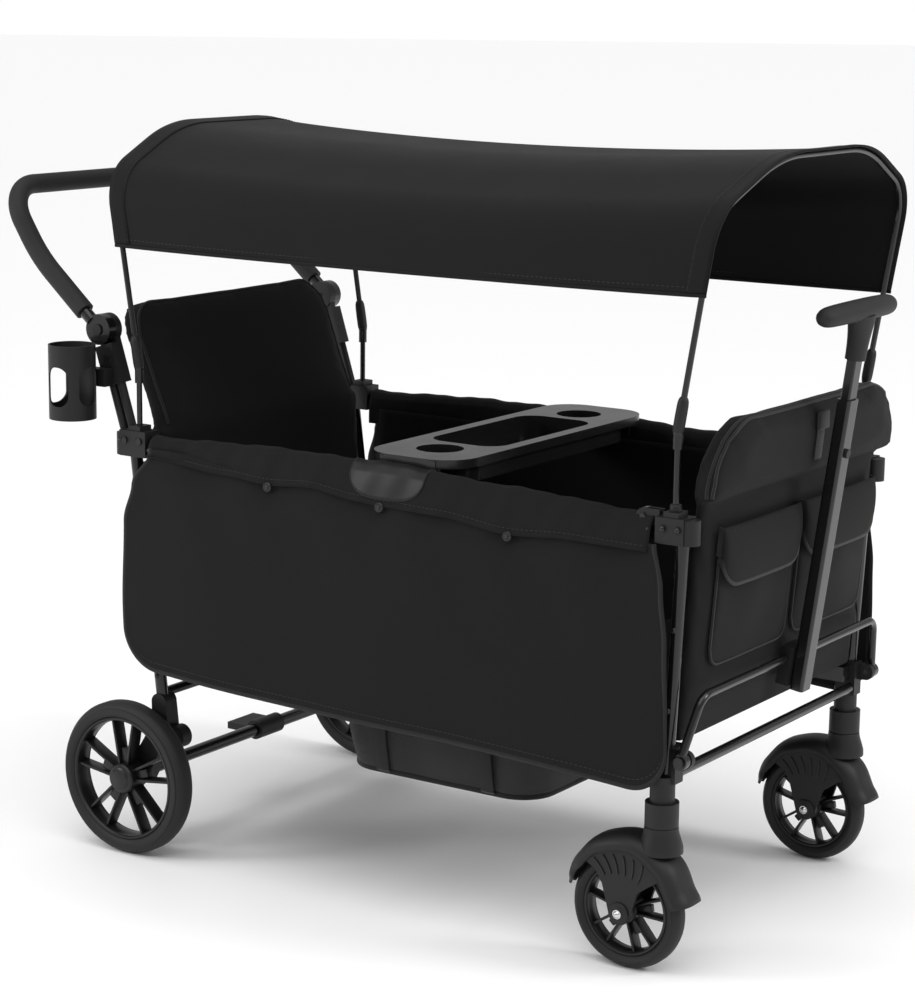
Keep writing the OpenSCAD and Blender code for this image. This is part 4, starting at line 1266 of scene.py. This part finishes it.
for label, side in SIDES:
    hub = wheel_centre(f"caster_tyre_{label}")
    stem = at(483, side * 302, 0)
    hood = finish_piece(f"fork_hood_{label}",
                        cloth_grid(28, 56, (0.08, 0.3), lambda u, v: hood_point(hub, u, v)),
                        grained_plastic, f"caster_{label}", 50.0)
    thicken(hood, 0.0032, 1.0)
    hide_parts(f"fork_{label}")
    fork_bm = bmesh.new()
    for way in (-1, 1):
        fork_leg(fork_bm, hub, way * 24.5, way * 31)
    boss = [(0.01, 186), (33, 186), (32.5, 196), (29.5, 206), (26.5, 215), (25.4, 221), (25, 225.4),
            (0.01, 225.4)]
    turned(fork_bm, boss, stem, "Z", 48, closed=False)
    cap = [(0.01, 36.5), (7, 36.2), (11, 34.8), (15.5, 34.2), (16.5, 33.0), (16.5, 30)]
    for way in (-1, 1):
        turned(fork_bm, [(r, way * a) for r, a in cap], hub, "Y", 40, closed=False)
    legs = finish_piece(f"fork_legs_{label}", outward(fork_bm), grained_plastic, f"caster_{label}",
                        30.0)
    soft_edges(legs, 0.0012, 2, 50)
    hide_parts(f"fork_{label}")
    rib_bm = bmesh.new()
    for way in (-1, 1):
        for i in range(6):
            ribs = []
            for j in range(9):
                r = 60 + 3.6 * j
                a = math.radians(60 + 11 * i + 0.022 * (r - 60) ** 1.6)
                ribs.append(hub + Vector((math.cos(a) * r, way * 31.4, math.sin(a) * r)) * MM)
            sweep(rib_bm, ribs, 0.0017, 0.0017, Vector((0, 1, 0)), sides=8)
    finish_piece(f"fork_louvres_{label}", outward(rib_bm), satin_plastic, f"caster_{label}")
    bolt_bm = bmesh.new()
    dome = [(0.01, 41.5), (2.5, 41.0), (4.6, 39.6), (5.6, 37.6), (6.8, 37.4), (6.8, 36.0)]
    for way in (-1, 1):
        turned(bolt_bm, [(r, way * a) for r, a in dome], hub, "Y", 32, closed=False)
    finish_piece(f"axle_bolt_{label}", outward(bolt_bm), zinc, f"caster_{label}", 40.0)

# %% [markdown]
# ## The pull grip
# The grip of the pull handle is a slightly bent rubber bar with round ends, on a neck that
# narrows towards the tube.

# %% Pull grip
grip_low, grip_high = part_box("tee_grip")
grip_mid = (grip_low + grip_high) / 2
GRIP_HALF = (grip_high.y - grip_low.y) / 2
bar = []
widths = []
for i in range(41):
    t = -1 + 2 * i / 40
    bar.append(Vector((grip_high.x - 0.0175 - 0.012 * t * t, grip_mid.y + GRIP_HALF * t,
                       grip_high.z - 0.0165 - 0.004 * t * t)))
    widths.append(max(0.0008, 0.0165 * (1 - abs(t) ** 14) ** 0.5 * (1 - 0.08 * t * t)))
grip_bm = sweep(bmesh.new(), bar, widths, widths, Vector((1, 0, 0)), sides=28)
lean = math.radians(7.6)
tube_way = Vector((math.sin(lean), 0, math.cos(lean)))
neck_top = bar[20]
neck = [neck_top - tube_way * (0.075 - 0.004 * i) for i in range(18)]
neck_x = [0.0150 + 0.0022 * ease(i / 17) for i in range(18)]
neck_y = [0.0170 + 0.014 * ease(i / 17) ** 2 for i in range(18)]
sweep(grip_bm, neck, neck_y, neck_x, Vector((0, 1, 0)), sides=28)
grip = finish_piece("pull_grip", outward(grip_bm), grip_foam, "pull_extension",
                    50.0)
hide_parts("tee_grip")

# %% [markdown]
# ## Small parts
# Bolts, rivets and cuffs sit on the frame where its pieces meet, and a strap with a buckle holds
# the pull tube against the front panel.

# %% Dome heads and rivets
DOME = [(0.01, 3.4), (1.6, 3.2), (3.4, 2.3), (4.6, 0.9), (5.0, 0.0)]


def dome(bm, place, way, size=1.0, outline=DOME):
    turned(bm, [(r * size, way * a * size) for r, a in outline], place, "Y", 24, closed=False)


head_groups = {
    "clamp_bolts_rear": ("rear_frame", [(-485, 322, 690), (-462, 322, 676), (-523, 322, 690)]),
    "clamp_bolts_front": ("front_frame", [(482, 325, 668), (506, 325, 668), (458, 321, 664)]),
    "leg_rivets_rear": ("rear_frame", [(-500, 310, 604), (-470, 310, 366), (-461, 310, 300)]),
    "leg_rivets_front": ("front_frame", [(498, 310, 520), (492, 310, 400)]),
}
for name, (body, spots) in head_groups.items():
    heads = bmesh.new()
    for x, y, z in spots:
        for side in (NEAR, FAR):
            dome(heads, at(x, side * y, z), side, 0.9)
    finish_piece(name, outward(heads), dark_metal, body)

# %% Cuffs where the hoops stand in their sockets
SOCKET_Z = 690.0
for label, way, body in (("rear", -1, "rear_frame"), ("front", 1, "front_frame")):
    cuff_bm = bmesh.new()
    for side in (NEAR, FAR):
        foot = at(way * HOOP_X, side * ARCH_HALF, SOCKET_Z)
        cuff = [(0.01, 0), (8.6, 0), (9.0, 2), (8.8, 9), (8.0, 11), (7.2, 12), (0.01, 12)]
        turned(cuff_bm, cuff, foot, "Z", 32, closed=False)
    finish_piece(f"hoop_socket_collar_{label}", outward(cuff_bm), grained_plastic, body)
    sleeve_bm = bmesh.new()
    tilt = LEAN * way
    for side in (NEAR, FAR):
        knee = at(way * HOOP_X, side * ARCH_HALF, KNEE_Z)
        up = Vector((math.sin(tilt), 0, math.cos(tilt)))
        path = [knee + up * (k * 0.001) for k in (-3, -1, 3, 10, 24, 38, 45, 49, 51)]
        sizes = [0.0058, 0.0072, 0.0082, 0.0086, 0.0086, 0.0084, 0.0078, 0.0064, 0.0048]
        sweep(sleeve_bm, path, sizes, sizes, Vector((0, 1, 0)), sides=20)
    finish_piece(f"hoop_sleeve_{label}", outward(sleeve_bm), grained_plastic, f"canopy_{label}")

# %% Strap and buckle behind the pull tube
strap_path = [at(front_face(z) + 10 + 3 * math.sin((z - 700) * 0.05), 0, z) for z in range(730, 796, 6)]
strap = finish_piece("panel_strap", swept(laid_on(front_panel, strap_path, 0.0018), 0.0125, 0.0009,
                                          Vector((0, 1, 0))), webbing, "front_frame")
buckle_at = laid_on(front_panel, [at(570, 0, 790)], 0.004)[0]
buckle_bm = bmesh.new()
block = bmesh.ops.create_cube(buckle_bm, size=1.0)["verts"]
bmesh.ops.transform(buckle_bm, verts=block, matrix=Matrix.Translation(buckle_at) @ Matrix.Diagonal(
    (0.007, 0.036, 0.028, 1)))
bmesh.ops.bevel(buckle_bm, geom=list(buckle_bm.edges), offset=0.0026, segments=3, affect="EDGES",
                profile=0.5, material=-1)
finish_piece("panel_buckle", buckle_bm, grained_plastic, "front_frame")

# %% [markdown]
# ## Finish
# The CAD nodes that stay take the finishes made above.

# %% Finishes for the CAD nodes
NODE_FINISHES = {
    tube_coat: ["rear_legs", "rear_cross_tubes", "rear_axle", "rear_hinge_lugs", "side_rails_rear",
                "side_rails_front", "front_legs", "front_cross_tubes", "front_hinge_lugs", "pull_u_bar",
                "pull_outer_tube", "pull_inner_tube", "push_handle_tube", "canopy_hoop_rear",
                "canopy_hoop_front"],
    grained_plastic: ["rear_clamps", "rear_brackets", "push_knuckles", "cup_holder", "front_clamps",
                      "caster_sockets", "pull_foot_bracket", "pull_button", "tee_grip",
                      "handle_button_near", "handle_button_far", "brake_pedal", "fork_near", "fork_far"],
    satin_plastic: ["caster_rim_near", "caster_rim_far", "rear_rim_near", "rear_rim_far"],
    foam_rubber: ["caster_tyre_near", "caster_tyre_far", "rear_tyre_near", "rear_tyre_far"],
    grip_foam: ["push_grip"],
    board_skin: ["floor_board_rear", "floor_board_front"],
    tray_gloss: ["tray"],
    zinc: ["caster_pins_near", "caster_pins_far"],
    dark_metal: ["rear_fasteners", "front_fasteners", "floor_pins", "rail_hinge_pins"],
    tub_cloth_ends: ["rear_backrest", "front_backrest", "front_pockets"],
    seat_cloth: ["seat_pad_rear", "seat_pad_front"],
    net: ["storage_basket"],
}
for finish, names in NODE_FINISHES.items():
    for name in names:
        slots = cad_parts[name].material_slots
        for slot in slots:
            slot.link = "OBJECT"
            slot.material = finish
print("CAD nodes finished", sum(len(n) for n in NODE_FINISHES.values()))
